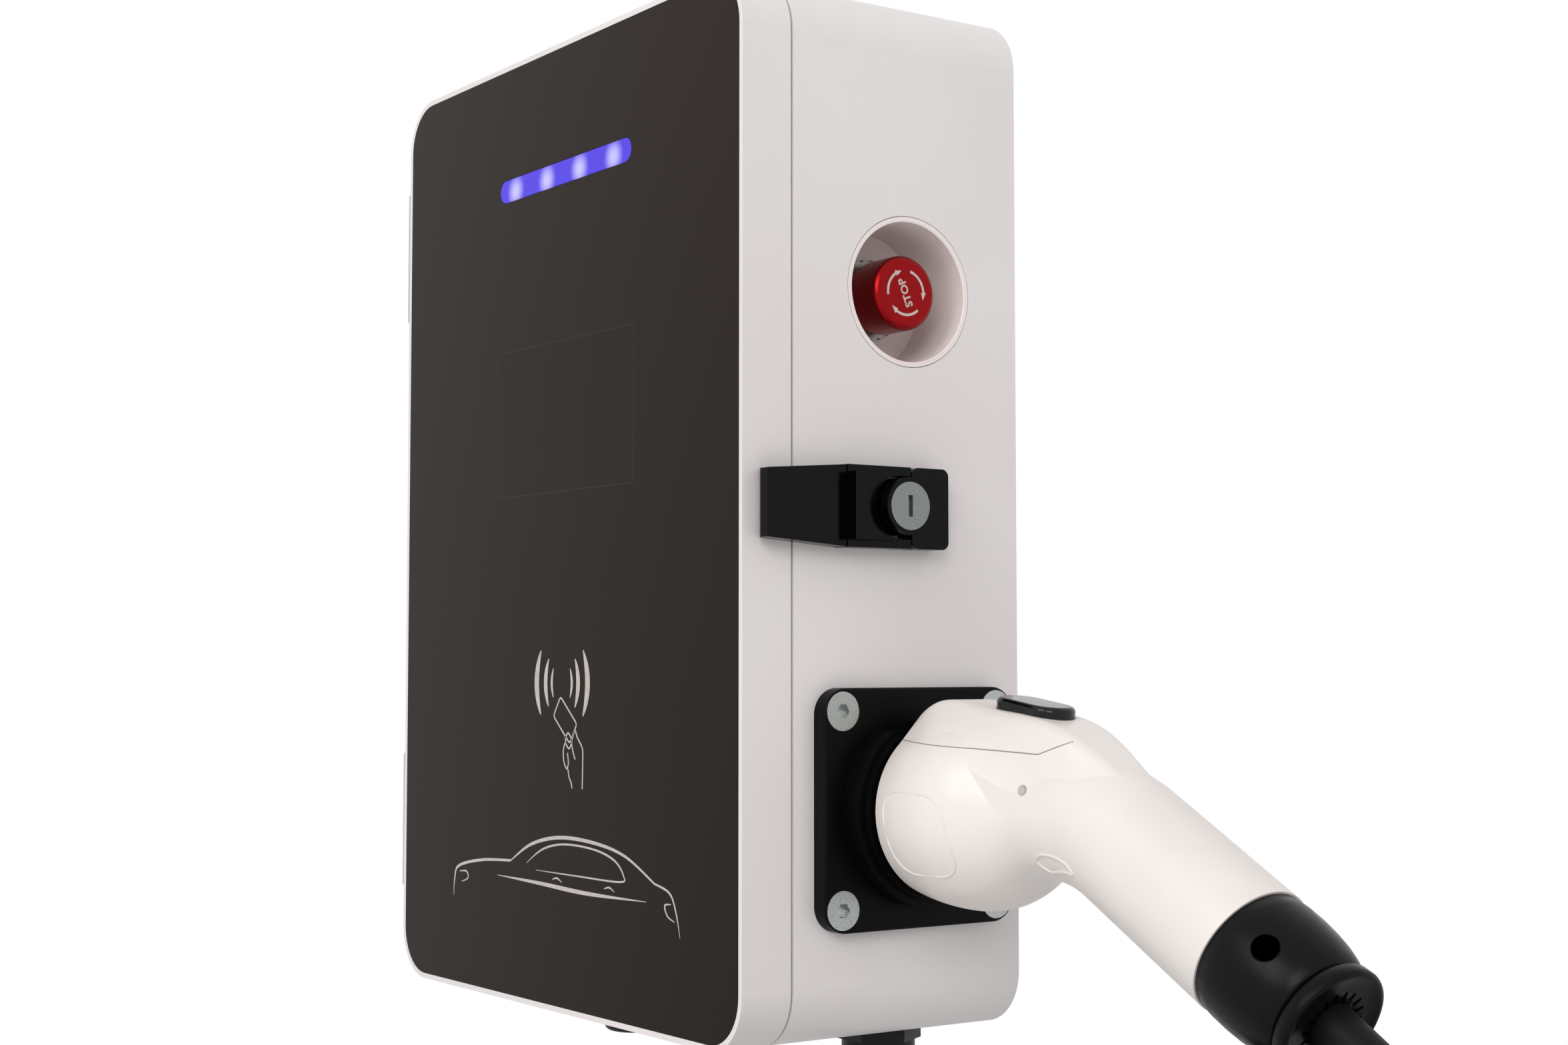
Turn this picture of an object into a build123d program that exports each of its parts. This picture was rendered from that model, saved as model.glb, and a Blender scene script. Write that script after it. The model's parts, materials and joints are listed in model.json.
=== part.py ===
from build123d import *
from math import acos, atan2, cos, degrees, hypot, pi, radians, sin, tan
import os

os.makedirs("parts", exist_ok=True)

# A wall-mounted charger for electric cars: a hinged-door cabinet with a stop button, a hasp
# lock and a holster on its right side, and a charging gun resting in the holster.
# Millimetres. X runs right along the wall, Y runs into the wall, Z is up. The origin is the
# centre of the four wall bolts, on the back face of the cabinet.

# Driving sizes of the cabinet
box_width = 280.0
box_height = 400.0
box_depth = 130.0
corner_radius = 22.0
wall = 3.0
door_depth = 21.5
seam = 1.0
row_shift = 0.55

# Fits and gaps shared by all pieces
running_gap = 0.05
slip_gap = 0.2
seat_gap = 0.3
cut_over = 1.0

# Heights of what sits on the right side, from the centre of the box
stop_height = 84.0
lock_height = 0.0
holster_height = -112.5

# Wall bolts
bolt_span_x = 220.0
bolt_span_z = 340.0
bolt_hole_radius = 3.5

half_width = box_width / 2
half_height = box_height / 2
body_depth = box_depth - door_depth - seam
row_depth = body_depth / 2 - row_shift
door_back = box_depth - door_depth
row_y = -row_depth


def from_wall(depth):
    """A plane parallel to the wall, this far in front of it, that faces the room."""
    return Plane.XZ.offset(depth)


def from_side(reach):
    """A plane parallel to the right side, this far outside it; its x runs back, its y up."""
    return Plane.YZ.offset(half_width + reach)


def from_floor(height):
    """A level plane at this height above the cabinet's centre."""
    return Plane.XY.offset(height)


# The cabinet's shell is an open box with a rain rim inside its front edge.
rim_inset = 7.0
rim_wall = 2.0
rim_reach = 4.0
rim_width = box_width - 2 * rim_inset
rim_height = box_height - 2 * rim_inset
rim_radius = corner_radius - rim_inset

stop_pot_radius = 29.0
stop_opening_radius = stop_pot_radius + seat_gap
holster_tube_radius = 27.0
holster_opening_radius = holster_tube_radius + seat_gap
holster_bolt_radius = 2.5
holster_bolt_pitch = 73.0
lock_bolt_radius = 1.6
lock_bolt_span = 22.0
hasp_setback = 5.6
hasp_length = 64.9
lock_plate_reach = 18.0
lock_bolt_inset = 8.5
hasp_start_y = hasp_setback - box_depth
hasp_end_y = hasp_start_y + hasp_length
lock_plate_end_y = hasp_end_y + lock_plate_reach
lock_bolt_y = lock_plate_end_y - lock_bolt_inset
gland_thread_radius = 12.5
outlet_inset = 42.0
supply_inset = 80.0
outlet_back = 16.0
outlet_x = half_width - outlet_inset
supply_x = supply_inset - half_width
gland_y = row_y
outlet_y = row_y + outlet_back

with BuildPart() as cabinet_shell:
    with BuildSketch(Plane.XZ):
        RectangleRounded(box_width, box_height, corner_radius)
    extrude(amount=body_depth)
    with BuildSketch(from_wall(wall)):
        RectangleRounded(box_width - 2 * wall, box_height - 2 * wall, corner_radius - wall)
    extrude(amount=body_depth - wall, mode=Mode.SUBTRACT)
    with BuildSketch(from_wall(body_depth - wall)):
        RectangleRounded(box_width - wall, box_height - wall, corner_radius - wall / 2)
        RectangleRounded(rim_width - 2 * rim_wall, rim_height - 2 * rim_wall,
                         rim_radius - rim_wall, mode=Mode.SUBTRACT)
    extrude(amount=wall)
    with BuildSketch(from_wall(body_depth)):
        RectangleRounded(rim_width, rim_height, rim_radius)
        RectangleRounded(rim_width - 2 * rim_wall, rim_height - 2 * rim_wall,
                         rim_radius - rim_wall, mode=Mode.SUBTRACT)
    extrude(amount=rim_reach)
    with BuildSketch(Plane.XZ):
        with GridLocations(bolt_span_x, bolt_span_z, 2, 2):
            Circle(bolt_hole_radius)
    extrude(amount=wall, mode=Mode.SUBTRACT)
    with BuildSketch(from_side(-wall)):
        with Locations((row_y, stop_height)):
            Circle(stop_opening_radius)
        with Locations((row_y, holster_height)):
            Circle(holster_opening_radius)
            with GridLocations(holster_bolt_pitch, holster_bolt_pitch, 2, 2):
                Circle(holster_bolt_radius + slip_gap)
        with Locations((lock_bolt_y, lock_height)):
            with GridLocations(lock_bolt_span, lock_bolt_span, 1, 2):
                Circle(lock_bolt_radius + slip_gap)
    extrude(amount=wall, mode=Mode.SUBTRACT)
    with BuildSketch(from_floor(-half_height)):
        with Locations((outlet_x, outlet_y), (supply_x, gland_y)):
            Circle(gland_thread_radius + slip_gap)
    extrude(amount=wall, mode=Mode.SUBTRACT)
cabinet_shell.part.label = "cabinet_shell"
export_step(cabinet_shell.part, "parts/cabinet_shell.step")

# The door is a shallow tray. A black panel lies in its front, and a ledge inside carries
# the seal that presses on the cabinet's rain rim.
panel_rim = 2.2
panel_thickness = 3.0
panel_radius = corner_radius - panel_rim
seal_width = 5.0
seal_thickness = 3.2
seal_squeeze_gap = seat_gap
ledge_depth = body_depth + rim_reach + seal_squeeze_gap + seal_thickness
ledge_inset = 12.5
tray_depth = box_depth - panel_thickness

front_shift = 5.5
screen_width = 113.0
screen_height = 63.0
screen_x = front_shift + 1.0
screen_z = 43.5
lamp_length = 110.0
lamp_height = 9.5
lamp_z = 145.0
lamp_flange = 2.0
lamp_board_height = 18.0
lamp_board_length = 122.0
lamp_count = 4

with BuildPart() as door_shell:
    with BuildSketch(from_wall(door_back)):
        RectangleRounded(box_width, box_height, corner_radius)
    extrude(amount=door_depth)
    with BuildSketch(from_wall(door_back)):
        RectangleRounded(box_width - 2 * wall, box_height - 2 * wall, corner_radius - wall)
    extrude(amount=tray_depth - wall - door_back, mode=Mode.SUBTRACT)
    with BuildSketch(from_wall(tray_depth)):
        RectangleRounded(box_width - 2 * panel_rim, box_height - 2 * panel_rim, panel_radius)
    extrude(amount=panel_thickness, mode=Mode.SUBTRACT)
    with BuildSketch(from_wall(ledge_depth)):
        RectangleRounded(box_width - wall, box_height - wall, corner_radius - wall / 2)
        RectangleRounded(box_width - 2 * ledge_inset, box_height - 2 * ledge_inset,
                         corner_radius - ledge_inset, mode=Mode.SUBTRACT)
    extrude(amount=wall)
    with BuildSketch(from_wall(tray_depth - wall)):
        with Locations((screen_x, screen_z)):
            Rectangle(screen_width, screen_height)
        with Locations((front_shift, lamp_z)):
            RectangleRounded(lamp_length + 2 * lamp_flange + 2 * slip_gap,
                             lamp_height + 2 * lamp_flange + 2 * slip_gap,
                             lamp_height / 2 + lamp_flange)
    extrude(amount=wall, mode=Mode.SUBTRACT)
door_shell.part.label = "door_shell"
export_step(door_shell.part, "parts/door_shell.step")

with BuildPart() as front_panel:
    with BuildSketch(from_wall(tray_depth)):
        RectangleRounded(box_width - 2 * panel_rim - 2 * slip_gap,
                         box_height - 2 * panel_rim - 2 * slip_gap, panel_radius - slip_gap)
        with Locations((front_shift, lamp_z)):
            SlotOverall(lamp_length + 2 * slip_gap, lamp_height + 2 * slip_gap,
                        mode=Mode.SUBTRACT)
    extrude(amount=panel_thickness)
front_panel.part.label = "front_panel"
export_step(front_panel.part, "parts/front_panel.step")

# The status lamp: a violet light guide with a flange behind the panel, and its board.
lamp_flange_thickness = 1.5
led_size = 5.0
led_height = 1.0
board_thickness = 1.6

with BuildPart() as lamp_guide:
    with BuildSketch(from_wall(tray_depth - lamp_flange_thickness)):
        with Locations((front_shift, lamp_z)):
            RectangleRounded(lamp_length + 2 * lamp_flange, lamp_height + 2 * lamp_flange,
                             lamp_height / 2 + lamp_flange - slip_gap)
    extrude(amount=lamp_flange_thickness)
    with BuildSketch(from_wall(tray_depth)):
        with Locations((front_shift, lamp_z)):
            SlotOverall(lamp_length, lamp_height)
    extrude(amount=panel_thickness)
lamp_guide.part.label = "lamp_guide"
export_step(lamp_guide.part, "parts/lamp_guide.step")

lamp_board_depth = tray_depth - wall - board_thickness
with BuildPart() as lamp_board:
    with BuildSketch(from_wall(lamp_board_depth)):
        with Locations((front_shift, lamp_z)):
            Rectangle(lamp_board_length, lamp_board_height)
    extrude(amount=board_thickness)
    with BuildSketch(from_wall(tray_depth - wall)):
        with Locations((front_shift, lamp_z)):
            with GridLocations(lamp_length / lamp_count, 0, lamp_count, 1):
                Rectangle(led_size, led_size)
    extrude(amount=led_height)
lamp_board.part.label = "lamp_board"
export_step(lamp_board.part, "parts/lamp_board.step")

# The screen: a metal-framed display with its glass standing up into the door's window.
screen_frame = 4.0
screen_body = 6.0
screen_glass = 2.5

with BuildPart() as screen_module:
    with BuildSketch(from_wall(tray_depth - wall - screen_body)):
        with Locations((screen_x, screen_z)):
            RectangleRounded(screen_width + 2 * screen_frame, screen_height + 2 * screen_frame,
                             screen_frame)
    extrude(amount=screen_body)
    with BuildSketch(from_wall(tray_depth - wall)):
        with Locations((screen_x, screen_z)):
            Rectangle(screen_width - 2 * slip_gap, screen_height - 2 * slip_gap)
    extrude(amount=screen_glass)
screen_module.part.label = "screen_module"
export_step(screen_module.part, "parts/screen_module.step")

# The card reader: a board with its aerial's loop, on four short pillars behind the panel.
reader_width = 90.0
reader_height = 60.0
reader_z = -66.0
reader_stand = 4.0
reader_pillar_radius = 2.5
reader_pillar_inset = 5.0
reader_loop_inset = 6.0
reader_loop_width = 2.0
reader_chip = 14.0
reader_chip_height = 2.0
reader_depth = tray_depth - wall - reader_stand - board_thickness

with BuildPart() as reader_board:
    with BuildSketch(from_wall(reader_depth)):
        with Locations((front_shift, reader_z)):
            RectangleRounded(reader_width, reader_height, reader_pillar_inset)
    extrude(amount=board_thickness)
    with BuildSketch(from_wall(reader_depth + board_thickness)):
        with Locations((front_shift, reader_z)):
            with GridLocations(reader_width - 2 * reader_pillar_inset,
                               reader_height - 2 * reader_pillar_inset, 2, 2):
                Circle(reader_pillar_radius)
    extrude(amount=reader_stand)
    with BuildSketch(from_wall(reader_depth - reader_chip_height)):
        with Locations((front_shift, reader_z)):
            Rectangle(reader_chip, reader_chip)
            Rectangle(reader_width - 2 * reader_pillar_inset - 2 * reader_loop_inset,
                      reader_height - 2 * reader_loop_inset)
            Rectangle(reader_width - 2 * reader_pillar_inset - 2 * reader_loop_inset
                      - 2 * reader_loop_width,
                      reader_height - 2 * reader_loop_inset - 2 * reader_loop_width,
                      mode=Mode.SUBTRACT)
            Rectangle(reader_chip, reader_chip)
    extrude(amount=reader_chip_height)
reader_board.part.label = "reader_board"
export_step(reader_board.part, "parts/reader_board.step")

seal_inset = rim_inset + rim_wall / 2 - seal_width / 2
with BuildPart() as door_seal:
    with BuildSketch(from_wall(ledge_depth - seal_thickness)):
        RectangleRounded(box_width - 2 * seal_inset, box_height - 2 * seal_inset,
                         corner_radius - seal_inset)
        RectangleRounded(box_width - 2 * seal_inset - 2 * seal_width,
                         box_height - 2 * seal_inset - 2 * seal_width,
                         corner_radius - seal_inset - seal_width, mode=Mode.SUBTRACT)
    extrude(amount=seal_thickness)
door_seal.part.label = "door_seal"
export_step(door_seal.part, "parts/door_seal.step")

# Two butt hinges on the left side. Each pin stands outside the corner, level with the seam,
# so that the door swings right round it.
pin_radius = 2.0
knuckle_radius = 4.0
leaf_thickness = 2.5
leaf_reach = 24.0
leaf_height = 60.0
hinge_heights = (130.0, -130.0)
knuckle_gap = 0.3
hinge_x = -half_width - knuckle_radius - 1.0 * pin_radius / 2
hinge_y = -(body_depth + seam / 2)
outer_knuckle = leaf_height / 3
pin_head_radius = 3.2
pin_head_height = 1.5


plate_start = knuckle_radius + knuckle_gap
plate_x = -half_width - leaf_thickness / 2

with BuildPart() as cabinet_hinge_leaves:
    for height in hinge_heights:
        foot = height - leaf_height / 2
        with BuildSketch(from_floor(foot)):
            with Locations((plate_x, hinge_y + (plate_start + leaf_reach) / 2)):
                Rectangle(leaf_thickness, leaf_reach - plate_start)
        extrude(amount=leaf_height)
        for start in (foot, foot + leaf_height - outer_knuckle):
            with BuildSketch(from_floor(start)):
                with Locations((hinge_x, hinge_y)):
                    Circle(knuckle_radius)
                with Locations((plate_x, hinge_y + leaf_reach / 4)):
                    Rectangle(leaf_thickness, leaf_reach / 2)
            extrude(amount=outer_knuckle)
        with Locations((hinge_x, hinge_y, height)):
            Cylinder(pin_radius + running_gap, leaf_height, mode=Mode.SUBTRACT)
cabinet_hinge_leaves.part.label = "cabinet_hinge_leaves"
export_step(cabinet_hinge_leaves.part, "parts/cabinet_hinge_leaves.step")

with BuildPart() as door_hinge_leaves:
    for height in hinge_heights:
        foot = height - leaf_height / 2
        with BuildSketch(from_floor(foot)):
            with Locations((plate_x, hinge_y - (plate_start + door_depth) / 2)):
                Rectangle(leaf_thickness, door_depth - plate_start)
        extrude(amount=leaf_height)
        with BuildSketch(from_floor(foot + outer_knuckle + knuckle_gap)):
            with Locations((hinge_x, hinge_y)):
                Circle(knuckle_radius)
            with Locations((plate_x, hinge_y - door_depth / 4)):
                Rectangle(leaf_thickness, door_depth / 2)
        extrude(amount=outer_knuckle - 2 * knuckle_gap)
        with Locations((hinge_x, hinge_y, height)):
            Cylinder(pin_radius + running_gap, leaf_height, mode=Mode.SUBTRACT)
door_hinge_leaves.part.label = "door_hinge_leaves"
export_step(door_hinge_leaves.part, "parts/door_hinge_leaves.step")

with BuildPart() as hinge_pins:
    for height in hinge_heights:
        with BuildSketch(from_floor(height - leaf_height / 2)):
            with Locations((hinge_x, hinge_y)):
                Circle(pin_radius)
        extrude(amount=leaf_height)
        with BuildSketch(from_floor(height + leaf_height / 2)):
            with Locations((hinge_x, hinge_y)):
                Circle(pin_head_radius)
        extrude(amount=pin_head_height)
hinge_pins.part.label = "hinge_pins"
export_step(hinge_pins.part, "parts/hinge_pins.step")

# The hasp lock. The hasp swings out on a pin that the door carries, and its fork closes
# round a lock barrel on the cabinet, where the turning tongue holds it.
hasp_block_length = 35.4
hasp_step_y = hasp_start_y + hasp_block_length
hasp_lift = 0.4
hasp_block_height = 8.5
hasp_block_start_half = 12.6
hasp_block_end_half = 15.3
hasp_neck_height = 14.0
hasp_neck_half = 12.6
hasp_arm_height = 9.0
hasp_arm_half = 15.4
fork_depth = 8.2
lock_y = hasp_end_y - fork_depth
lock_boss_radius = 10.8
fork_radius = 12.0
lock_plate_gap = 0.5
lock_plate_height = 9.0
lock_plate_half = 15.4
lock_plate_corner = 3.0
lock_boss_height = 19.3
lock_disc_radius = 9.0
lock_disc_thickness = 3.0
lock_core_radius = 5.0
tongue_radius = 13.5
tongue_half = 2.0
tongue_thickness = 2.3
tongue_level = 4.0
tongue_space = tongue_thickness + 2 * seat_gap
tongue_sweep_radius = tongue_radius + 2 * seat_gap
key_slot_height = 8.0
key_slot_width = 2.0
key_slot_depth = 2.0

hasp_pin_radius = 1.2
hasp_pin_setback = 4.0
hasp_pin_y = hasp_start_y + hasp_pin_setback
hasp_pin_reach = 4.3
hasp_nose_radius = hasp_pin_reach - hasp_lift
lug_barrel_radius = 2.6
lug_half = 3.0
lug_foot_half = 6.0
lug_foot_start = 4.8
lug_foot_end = 10.9
lug_foot_height = 2.4
lug_pocket_start = 2.6
lug_pocket_roof = 3.0

with BuildPart() as lock_hasp:
    with BuildSketch(from_side(hasp_lift)):
        with BuildLine():
            Polyline((hasp_start_y, lock_height - hasp_block_start_half),
                     (hasp_step_y, lock_height - hasp_block_end_half),
                     (hasp_step_y, lock_height + hasp_block_end_half),
                     (hasp_start_y, lock_height + hasp_block_start_half), close=True)
        make_face()
    extrude(amount=hasp_block_height - hasp_lift)
    nose_edges = lock_hasp.edges().filter_by(Axis.Z).group_by(Axis.Y)[0]
    fillet(nose_edges.sort_by(Axis.X)[0], hasp_nose_radius)
    fillet(lock_hasp.edges().filter_by(Axis.Z).group_by(Axis.Y)[0].sort_by(Axis.X)[-1],
           hasp_lift + hasp_lift)
    with BuildSketch(from_side(hasp_lift)):
        with Locations(((hasp_step_y + hasp_end_y) / 2, lock_height)):
            Rectangle(hasp_end_y - hasp_step_y, 2 * hasp_arm_half)
    extrude(amount=hasp_arm_height - hasp_lift)
    with BuildSketch(from_side(hasp_lift)):
        with Locations(((hasp_step_y + lock_y) / 2, lock_height)):
            Rectangle(lock_y - hasp_step_y, 2 * hasp_neck_half)
    extrude(amount=hasp_neck_height - hasp_lift)
    with BuildSketch(from_side(0)):
        with Locations((lock_y, lock_height)):
            Circle(fork_radius)
        with Locations(((lock_y + hasp_end_y) / 2 + cut_over, lock_height)):
            Rectangle(hasp_end_y - lock_y + 2 * cut_over, 2 * fork_radius)
    extrude(amount=hasp_neck_height + cut_over, mode=Mode.SUBTRACT)
    # The groove in the upper arm takes the tip of the tongue.
    with BuildSketch(from_side(tongue_level - seat_gap)):
        with Locations((lock_y, lock_height)):
            Circle(tongue_sweep_radius)
        with Locations((lock_y, lock_height - tongue_sweep_radius / 2 - tongue_half)):
            Rectangle(2 * tongue_sweep_radius, tongue_sweep_radius + seat_gap,
                      mode=Mode.SUBTRACT)
        with Locations((lock_y - tongue_sweep_radius / 2 - tongue_half, lock_height)):
            Rectangle(tongue_sweep_radius - seat_gap, 2 * tongue_sweep_radius,
                      mode=Mode.SUBTRACT)
    extrude(amount=tongue_space, mode=Mode.SUBTRACT)
    # A pocket underneath clears the lug on the door.
    with BuildSketch(from_side(0)):
        with Locations((hasp_pin_y + (lug_foot_end + seat_gap - lug_barrel_radius
                                      - seat_gap) / 2, lock_height)):
            Rectangle(lug_foot_end + lug_barrel_radius + 2 * seat_gap,
                      2 * (lug_half + seat_gap))
    extrude(amount=hasp_pin_reach + lug_pocket_roof, mode=Mode.SUBTRACT)
    with BuildSketch(from_side(0)):
        with Locations((hasp_pin_y + (lug_foot_end + seat_gap + lug_pocket_start) / 2,
                        lock_height)):
            Rectangle(lug_foot_end + seat_gap - lug_pocket_start,
                      2 * (lug_foot_half + seat_gap))
    extrude(amount=lug_foot_height + hasp_lift, mode=Mode.SUBTRACT)
    with Locations((half_width + hasp_pin_reach, hasp_pin_y, lock_height)):
        Cylinder(hasp_pin_radius + running_gap, 2 * hasp_block_start_half - 2 * lug_half,
                 mode=Mode.SUBTRACT)
lock_hasp.part.label = "lock_hasp"
export_step(lock_hasp.part, "parts/lock_hasp.step")

with BuildPart() as hasp_lug:
    with BuildSketch(from_side(0)):
        with Locations((hasp_pin_y + (lug_foot_start + lug_foot_end) / 2, lock_height)):
            Rectangle(lug_foot_end - lug_foot_start, 2 * lug_foot_half)
    extrude(amount=lug_foot_height)
    with BuildSketch(from_floor(lock_height - lug_half)):
        with BuildLine():
            Polyline((half_width, hasp_pin_y + lug_foot_start),
                     (half_width + hasp_pin_reach - lug_barrel_radius / 2,
                      hasp_pin_y + lug_barrel_radius / 2),
                     (half_width + hasp_pin_reach + lug_barrel_radius, hasp_pin_y),
                     (half_width + lug_foot_height, hasp_pin_y + lug_foot_end),
                     (half_width, hasp_pin_y + lug_foot_end), close=True)
        make_face()
        with Locations((half_width + hasp_pin_reach, hasp_pin_y)):
            Circle(lug_barrel_radius)
            Circle(hasp_pin_radius + running_gap, mode=Mode.SUBTRACT)
    extrude(amount=2 * lug_half)
hasp_lug.part.label = "hasp_lug"
export_step(hasp_lug.part, "parts/hasp_lug.step")

with BuildPart() as hasp_pin:
    with Locations((half_width + hasp_pin_reach, hasp_pin_y, lock_height)):
        Cylinder(hasp_pin_radius, 2 * hasp_block_start_half - 2 * lug_half)
hasp_pin.part.label = "hasp_pin"
export_step(hasp_pin.part, "parts/hasp_pin.step")

lock_plate_start_y = hasp_end_y + lock_plate_gap
with BuildPart() as lock_base:
    with BuildSketch(from_side(0)):
        with Locations(((lock_plate_start_y + lock_plate_end_y) / 2, lock_height)):
            RectangleRounded(lock_plate_end_y - lock_plate_start_y, 2 * lock_plate_half,
                             lock_plate_corner)
    extrude(amount=lock_plate_height)
    with BuildSketch(from_side(0)):
        with Locations((lock_y, lock_height)):
            Circle(lock_boss_radius)
    extrude(amount=lock_boss_height)
    with BuildSketch(from_side(lock_boss_height - lock_disc_thickness - seat_gap)):
        with Locations((lock_y, lock_height)):
            Circle(lock_disc_radius + running_gap)
    extrude(amount=lock_disc_thickness + seat_gap, mode=Mode.SUBTRACT)
    with BuildSketch(from_side(tongue_level - seat_gap - seam)):
        with Locations((lock_y, lock_height)):
            Circle(lock_core_radius + running_gap)
    extrude(amount=lock_boss_height, mode=Mode.SUBTRACT)
    # A quarter of the barrel is open at the tongue's level, so that it can turn up.
    with BuildSketch(from_side(tongue_level - seat_gap)):
        with Locations((lock_y, lock_height)):
            Circle(tongue_sweep_radius)
        with Locations((lock_y, lock_height - tongue_sweep_radius - tongue_half - seat_gap)):
            Rectangle(4 * tongue_sweep_radius, 2 * tongue_sweep_radius, mode=Mode.SUBTRACT)
        with Locations((lock_y - tongue_sweep_radius - tongue_half - seat_gap, lock_height)):
            Rectangle(2 * tongue_sweep_radius, 4 * tongue_sweep_radius, mode=Mode.SUBTRACT)
    extrude(amount=tongue_space, mode=Mode.SUBTRACT)
    with BuildSketch(from_side(0)):
        with Locations((lock_bolt_y, lock_height)):
            with GridLocations(lock_bolt_span, lock_bolt_span, 1, 2):
                Circle(lock_bolt_radius + running_gap)
    extrude(amount=lock_plate_height - 2 * seam, mode=Mode.SUBTRACT)
lock_base.part.label = "lock_base"
export_step(lock_base.part, "parts/lock_base.step")

lock_bolt_head_radius = 3.0
lock_bolt_head = 2.0
with BuildPart() as lock_screws:
    with BuildSketch(from_side(-wall - lock_bolt_head)):
        with Locations((lock_bolt_y, lock_height)):
            with GridLocations(lock_bolt_span, lock_bolt_span, 1, 2):
                Circle(lock_bolt_head_radius)
    extrude(amount=lock_bolt_head)
    with BuildSketch(from_side(-wall)):
        with Locations((lock_bolt_y, lock_height)):
            with GridLocations(lock_bolt_span, lock_bolt_span, 1, 2):
                Circle(lock_bolt_radius)
    extrude(amount=wall + lock_plate_height - 3 * seam)
lock_screws.part.label = "lock_screws"
export_step(lock_screws.part, "parts/lock_screws.step")

with BuildPart() as lock_core:
    with BuildSketch(from_side(tongue_level - seam)):
        with Locations((lock_y, lock_height)):
            Circle(lock_core_radius)
    extrude(amount=lock_boss_height - tongue_level + seam - lock_disc_thickness / 2)
    with BuildSketch(from_side(lock_boss_height - lock_disc_thickness)):
        with Locations((lock_y, lock_height)):
            Circle(lock_disc_radius)
    extrude(amount=lock_disc_thickness)
    with BuildSketch(from_side(tongue_level)):
        with Locations((lock_y + tongue_radius / 2, lock_height)):
            Rectangle(tongue_radius, 2 * tongue_half)
        with Locations((lock_y, lock_height)):
            Circle(tongue_radius, mode=Mode.INTERSECT)
    extrude(amount=tongue_thickness)
    with BuildSketch(from_side(lock_boss_height - key_slot_depth)):
        with Locations((lock_y, lock_height)):
            Rectangle(key_slot_width, key_slot_height)
    extrude(amount=key_slot_depth, mode=Mode.SUBTRACT)
lock_core.part.label = "lock_core"
export_step(lock_core.part, "parts/lock_core.step")

# The emergency stop sits at the bottom of a white pot let into the side.
pot_depth = 30.0
pot_wall = 2.0
pot_floor = 2.5
pot_flange_radius = 34.0
pot_flange = 2.5
barrel_radius = 11.0
collar_radius = 16.0
collar_height = 5.0
collar_floor = 0.8
collar_ridges = 24
collar_ridge_radius = 0.9
neck_radius = 13.0
stop_head_radius = 14.5
stop_head_inset = 2.0
stop_head_length = 16.0
stop_head_edge = 2.5
stop_travel = 4.0
plunger_radius = 6.0
spigot_radius = 6.0
spigot_length = 8.0
barrel_tail = 18.0
stop_nut_radius = 15.0
stop_nut_height = 4.0
contact_box_width = 28.0
contact_box_depth = 34.0

with BuildPart() as stop_pot:
    with BuildSketch(from_side(-pot_depth - pot_floor)):
        with Locations((row_y, stop_height)):
            Circle(stop_pot_radius)
    extrude(amount=pot_depth + pot_floor)
    with BuildSketch(from_side(-wall - pot_flange)):
        with Locations((row_y, stop_height)):
            Circle(pot_flange_radius)
    extrude(amount=pot_flange)
    with BuildSketch(from_side(-pot_depth)):
        with Locations((row_y, stop_height)):
            Circle(stop_pot_radius - pot_wall)
    extrude(amount=pot_depth, mode=Mode.SUBTRACT)
    with BuildSketch(from_side(-pot_depth - pot_floor)):
        with Locations((row_y, stop_height)):
            Circle(barrel_radius + slip_gap)
    extrude(amount=pot_floor, mode=Mode.SUBTRACT)
    fillet(stop_pot.faces().filter_by(Axis.X).sort_by(Axis.X)[-1].inner_wires().edges(),
           pot_wall / 4)
stop_pot.part.label = "stop_pot"
export_step(stop_pot.part, "parts/stop_pot.step")

with BuildPart() as stop_barrel:
    with BuildSketch(from_side(-pot_depth)):
        with Locations((row_y, stop_height)):
            Circle(collar_radius)
            with PolarLocations(collar_radius, collar_ridges):
                Circle(collar_ridge_radius, mode=Mode.SUBTRACT)
    extrude(amount=collar_height)
    with BuildSketch(from_side(-pot_depth - barrel_tail)):
        with Locations((row_y, stop_height)):
            Circle(barrel_radius)
    extrude(amount=barrel_tail)
    with BuildSketch(from_side(-pot_depth + collar_floor)):
        with Locations((row_y, stop_height)):
            Circle(neck_radius + slip_gap)
    extrude(amount=collar_height, mode=Mode.SUBTRACT)
    with BuildSketch(from_side(-pot_depth - barrel_tail)):
        with Locations((row_y, stop_height)):
            Circle(plunger_radius + running_gap)
    extrude(amount=barrel_tail + collar_height, mode=Mode.SUBTRACT)
stop_barrel.part.label = "stop_barrel"
export_step(stop_barrel.part, "parts/stop_barrel.step")

with BuildPart() as stop_nut:
    with BuildSketch(from_side(-pot_depth - pot_floor - stop_nut_height)):
        with Locations((row_y, stop_height)):
            RegularPolygon(stop_nut_radius, 6)
            Circle(barrel_radius + running_gap, mode=Mode.SUBTRACT)
    extrude(amount=stop_nut_height)
stop_nut.part.label = "stop_nut"
export_step(stop_nut.part, "parts/stop_nut.step")

stop_head_face = -stop_head_inset
stop_head_back = stop_head_face - stop_head_length
neck_back = -pot_depth + collar_floor + stop_travel + seat_gap
plunger_end = -pot_depth - barrel_tail + stop_travel + seat_gap
with BuildPart() as stop_plunger:
    with BuildSketch(from_side(neck_back)):
        with Locations((row_y, stop_height)):
            Circle(neck_radius)
    extrude(amount=stop_head_back - neck_back)
    with BuildSketch(from_side(plunger_end)):
        with Locations((row_y, stop_height)):
            Circle(plunger_radius)
    extrude(amount=neck_back - plunger_end)
    with BuildSketch(from_side(stop_head_back)):
        with Locations((row_y, stop_height)):
            Circle(spigot_radius)
    extrude(amount=spigot_length)
stop_plunger.part.label = "stop_plunger"
export_step(stop_plunger.part, "parts/stop_plunger.step")

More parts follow.
